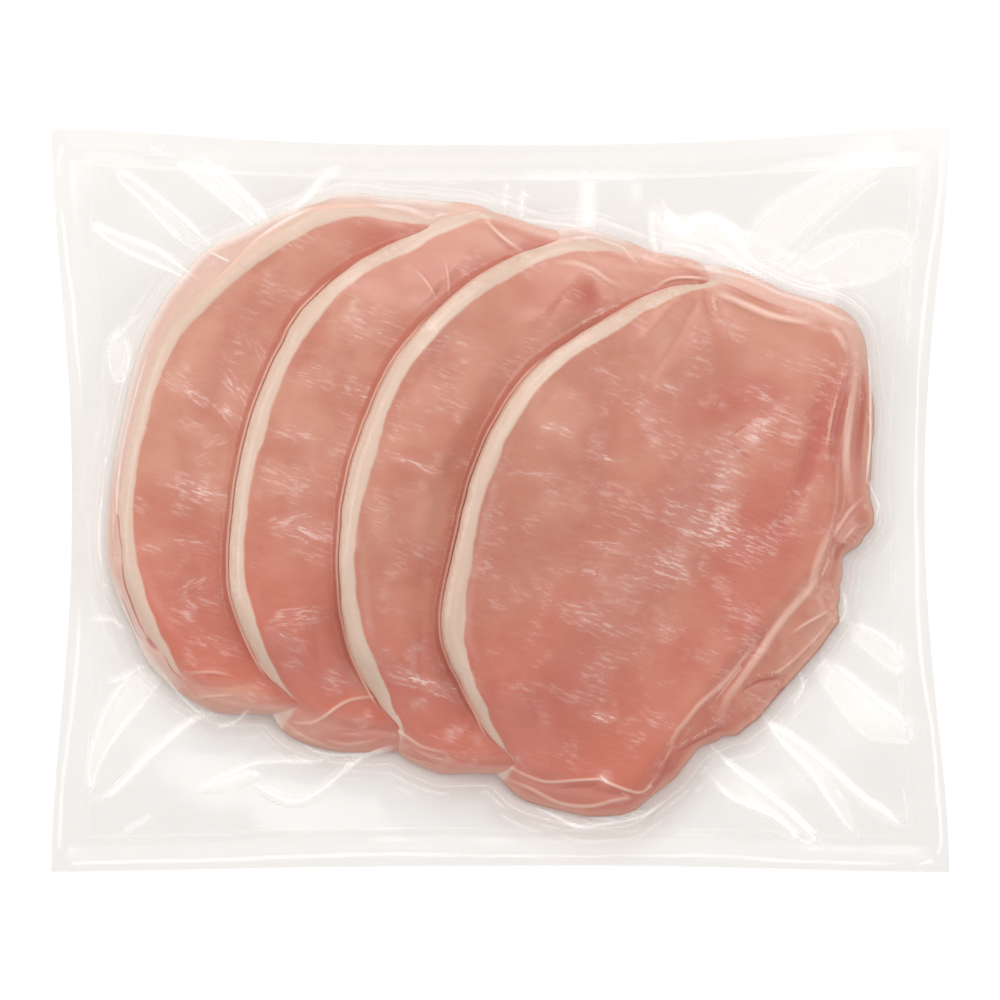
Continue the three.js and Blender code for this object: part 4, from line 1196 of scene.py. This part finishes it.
def makeFilmRound():  # the film round the steaks, with its folds, the lines along the steaks, and the seal
    material, tree = newMaterial("filmRound")
    edgeDepth = attribute(tree, "edgeDepth")
    away = attribute(tree, "away")
    wander = attribute(tree, "wander")
    patches = attribute(tree, "patches")
    shade = attribute(tree, "shade")

    def follow(sway, middle, half):  # a line that follows the steaks, at a distance that sways
        return band(tree, total(tree, away, product(tree, wander, sway)), middle, half)

    low, high = bag["sealWidth"] - clear["sealBlur"], bag["sealWidth"] + clear["sealBlur"]
    sealed = ramp(tree, edgeDepth, low, high, clear["sealHaze"], clear["haze"])
    sealLine = band(tree, edgeDepth, bag["sealWidth"] + clear["lineFromSeal"], clear["lineHalf"])
    # the white along the folds' edges: partly milky creases, partly painted highlights
    foldEdge = product(tree, lineShare(tree, "fold", 0.1, 1.5), attribute(tree, "foldTone"))
    # white lines in the film that follow the steaks: partly the film's creases, partly painted highlights
    halo = total(tree, follow(0.4, 0.8, 0.6),
                 product(tree, follow(1.2, 2.7, 0.7), ramp(tree, patches, -0.2, 0.3)),
                 product(tree, follow(2.0, 4.8, 0.9), ramp(tree, patches, 0.2, -0.3, 0, 0.8)))
    # painted shadow: the film beside the steaks turns darker and warm, most where the bag's shade is
    # strongest
    offMeat = ramp(tree, away, -3.6, -2.4)
    nearMeat = ramp(tree, sums(tree, "DIVIDE", away, shade), -1.5, 7.5, 1, 0)
    through = mixColour(tree, product(tree, offMeat, nearMeat, shade), clear["through"], clear["juiceAndShadow"])
    # painted light: milky white on the film beside the steaks on their lit side, where the shade is low
    bright = product(tree, offMeat, ramp(tree, away, -2, 2.5, 1, 0), ramp(tree, shade, 0.3, 0.6, 1, 0),
                     clear["besideLitHaze"])
    haze = total(tree, sealed, bright, product(tree, foldEdge, clear["foldHazeAndHighlight"]),
                 product(tree, attribute(tree, "milky"), clear["foldFill"]),
                 product(tree, halo, shade, clear["haloHazeAndHighlight"]), product(tree, sealLine, clear["lineHaze"]))
    creases = total(tree, product(tree, foldEdge, clear["foldRelief"]),
                    product(tree, halo, clear["haloRelief"]),
                    product(tree, sealLine, clear["lineRelief"]))
    gloss = sums(tree, "MAXIMUM", ramp(tree, patches, -1, 1, 0.08, 0.2), ramp(tree, away, -4, -1, 0.3, 0))
    makeSheet(tree, through, haze, gloss, bumped(tree, *clear["bump"], creases))
    return material


def makeFilmOnMeat():  # the film that clings to the steaks, crinkled in places, with painted glints on the crinkles, a painted sheen round them and a painted glare
    material, tree = newMaterial("filmOnMeat")
    onMeat = attribute(tree, "onMeat")
    flow = addNode(tree, "ShaderNodeCombineXYZ", Z=attribute(tree, "wander"),
                   X=product(tree, attribute(tree, "crinkleAlong"), clear["streakScale"][0]),
                   Y=product(tree, attribute(tree, "crinkleAcross"), clear["streakScale"][1])).outputs[0]
    streaks = noiseField(tree, flow, 1.0, rugged=clear["streakRugged"])
    scattered = ramp(tree, attribute(tree, "patches"), 0.0, 0.6, 0.05, 0.35)
    crinkled = product(tree, sums(tree, "MAXIMUM", attribute(tree, "crinkle"), scattered), onMeat)
    streak = product(tree, ramp(tree, streaks, 0.5, 0.66), crinkled)
    place = placeOn(tree)
    flecks = noiseField(tree, place, clear["fleckScale"], 1.0, clear["fleckRugged"])
    cracks = noiseField(tree, place, clear["crackScale"], 1.0, clear["fleckRugged"])
    ragged = total(tree, attribute(tree, "glare"), product(tree, sums(tree, "SUBTRACT", flecks, 0.5), 2.0))
    mottled = product(tree, ramp(tree, ragged, 0.1, 1.1), ramp(tree, streaks, 0.38, 0.62, 0.35, 1))
    glare = product(tree, mottled, ramp(tree, band(tree, cracks, 0.5, 0.03), 0, 1, 1, 0.1), onMeat)
    # painted glints on the crinkles, painted sheen round them and painted glare, all as white haze on the
    # film
    haze = total(tree, product(tree, streak, clear["crinkleGlint"]),
                 product(tree, crinkled, clear["crinkleSheen"]),
                 product(tree, glare, clear["glareHaze"]), clear["haze"])
    gloss = ramp(tree, onMeat, 0, 1, clear["gloss"], clear["glossOnMeat"])
    normal = bumped(tree, *clear["bumpOnMeat"], streak)
    makeSheet(tree, (*clear["through"], 1), haze, gloss, normal, "OnMeat")
    return material


def makeFilmUnder():
    material, tree = newMaterial("filmUnder")
    ripple = noiseField(tree, placeOn(tree), clear["rippleScale"], 1.0)
    gloss = ramp(tree, ripple, 0.3, 0.7, 0.08, 0.16)
    normal = bumped(tree, *clear["bumpUnder"], ripple)
    makeSheet(tree, (*clear["through"], 1), clear["haze"], gloss, normal)
    return material


# The table: its length in metres, how far it lies below the bag, and its colour and dullness.
ground = {"size": 4, "drop": 0.1, "colour": (0.9, 0.9, 0.9, 1), "dullness": 0.9}


def makeTable():
    material, tree = newMaterial("whiteTable")
    paint = addNode(tree, "ShaderNodeBsdfPrincipled", Base_Color=ground["colour"],
                    Roughness=ground["dullness"])
    showSurface(tree, paint)
    return material


rawPork = makePork()
for piece in steaks:
    piece.data.materials.append(rawPork)
filmRound, filmOnMeat, filmUnder = makeFilmRound(), makeFilmOnMeat(), makeFilmUnder()
filmBag = makeFilmBag()
filmBag.visible_shadow = False  # so thin a film casts hardly any
print("film bag made:", len(filmBag.data.polygons), "faces")


# Table, camera and light
bpy.ops.mesh.primitive_plane_add(size=ground["size"])
table = bpy.context.object
table.name = "table"
table.location.z = -ground["drop"] * mm
table.data.materials.append(makeTable())

# The camera: height, sensor and clips as Blender has them, and how much of the bag a pixel shows.
view = {"height": 1.4, "pixel": 0.27902, "frame": 1000, "sensor": 36, "near": 0.05, "far": 20}
camera = bpy.data.objects.new("camera", bpy.data.cameras.new("camera"))
bpy.context.scene.collection.objects.link(camera)
camera.location = (0, 0, view["height"])
camera.data.sensor_width = view["sensor"]
camera.data.lens = view["sensor"] * view["height"] / (view["pixel"] * view["frame"] * mm)
camera.data.clip_start = view["near"]
camera.data.clip_end = view["far"]
bpy.context.scene.camera = camera

# Each light: bearing from +X, tilt from straight up, size across and up, and brightness.
lampDistance = 1.3
lights = {
    "key": {"bearing": 90, "tilt": 30, "size": (1.6, 1.0), "radiance": 1.4},
    "top": {"bearing": 100, "tilt": 62, "size": (1.0, 0.25), "radiance": 5.9},
    "left": {"bearing": 175, "tilt": 62, "size": (1.0, 0.25), "radiance": 5.9},
    "right": {"bearing": -12, "tilt": 62, "size": (1.0, 0.25), "radiance": 4.6},
    "low": {"bearing": 262, "tilt": 52, "size": (1.6, 0.9), "radiance": 0.95},
    "glare": {"bearing": 50, "tilt": 26, "size": (0.5, 0.5), "radiance": 2.5},
}
for name, light in lights.items():
    lamp = bpy.data.lights.new(name, "AREA")
    lamp.shape = "RECTANGLE"
    lamp.size, lamp.size_y = light["size"]
    lamp.energy = light["radiance"] * math.pi * light["size"][0] * light["size"][1]
    holder = bpy.data.objects.new(name, lamp)
    bpy.context.scene.collection.objects.link(holder)
    bearing, tilt = math.radians(light["bearing"]), math.radians(light["tilt"])
    way = Vector((math.cos(bearing) * math.sin(tilt), math.sin(bearing) * math.sin(tilt), math.cos(tilt)))
    holder.location = way * lampDistance
    holder.rotation_euler = way.to_track_quat("Z", "Y").to_euler()

sky = {"colour": (1, 0.995, 0.99, 1), "strength": 0.39}
world = bpy.data.worlds.new("studio")
bpy.context.scene.world = world
world.use_nodes = True
world.node_tree.nodes["Background"].inputs["Color"].default_value = sky["colour"]
world.node_tree.nodes["Background"].inputs["Strength"].default_value = sky["strength"]
bpy.context.scene.view_settings.view_transform = "Standard"
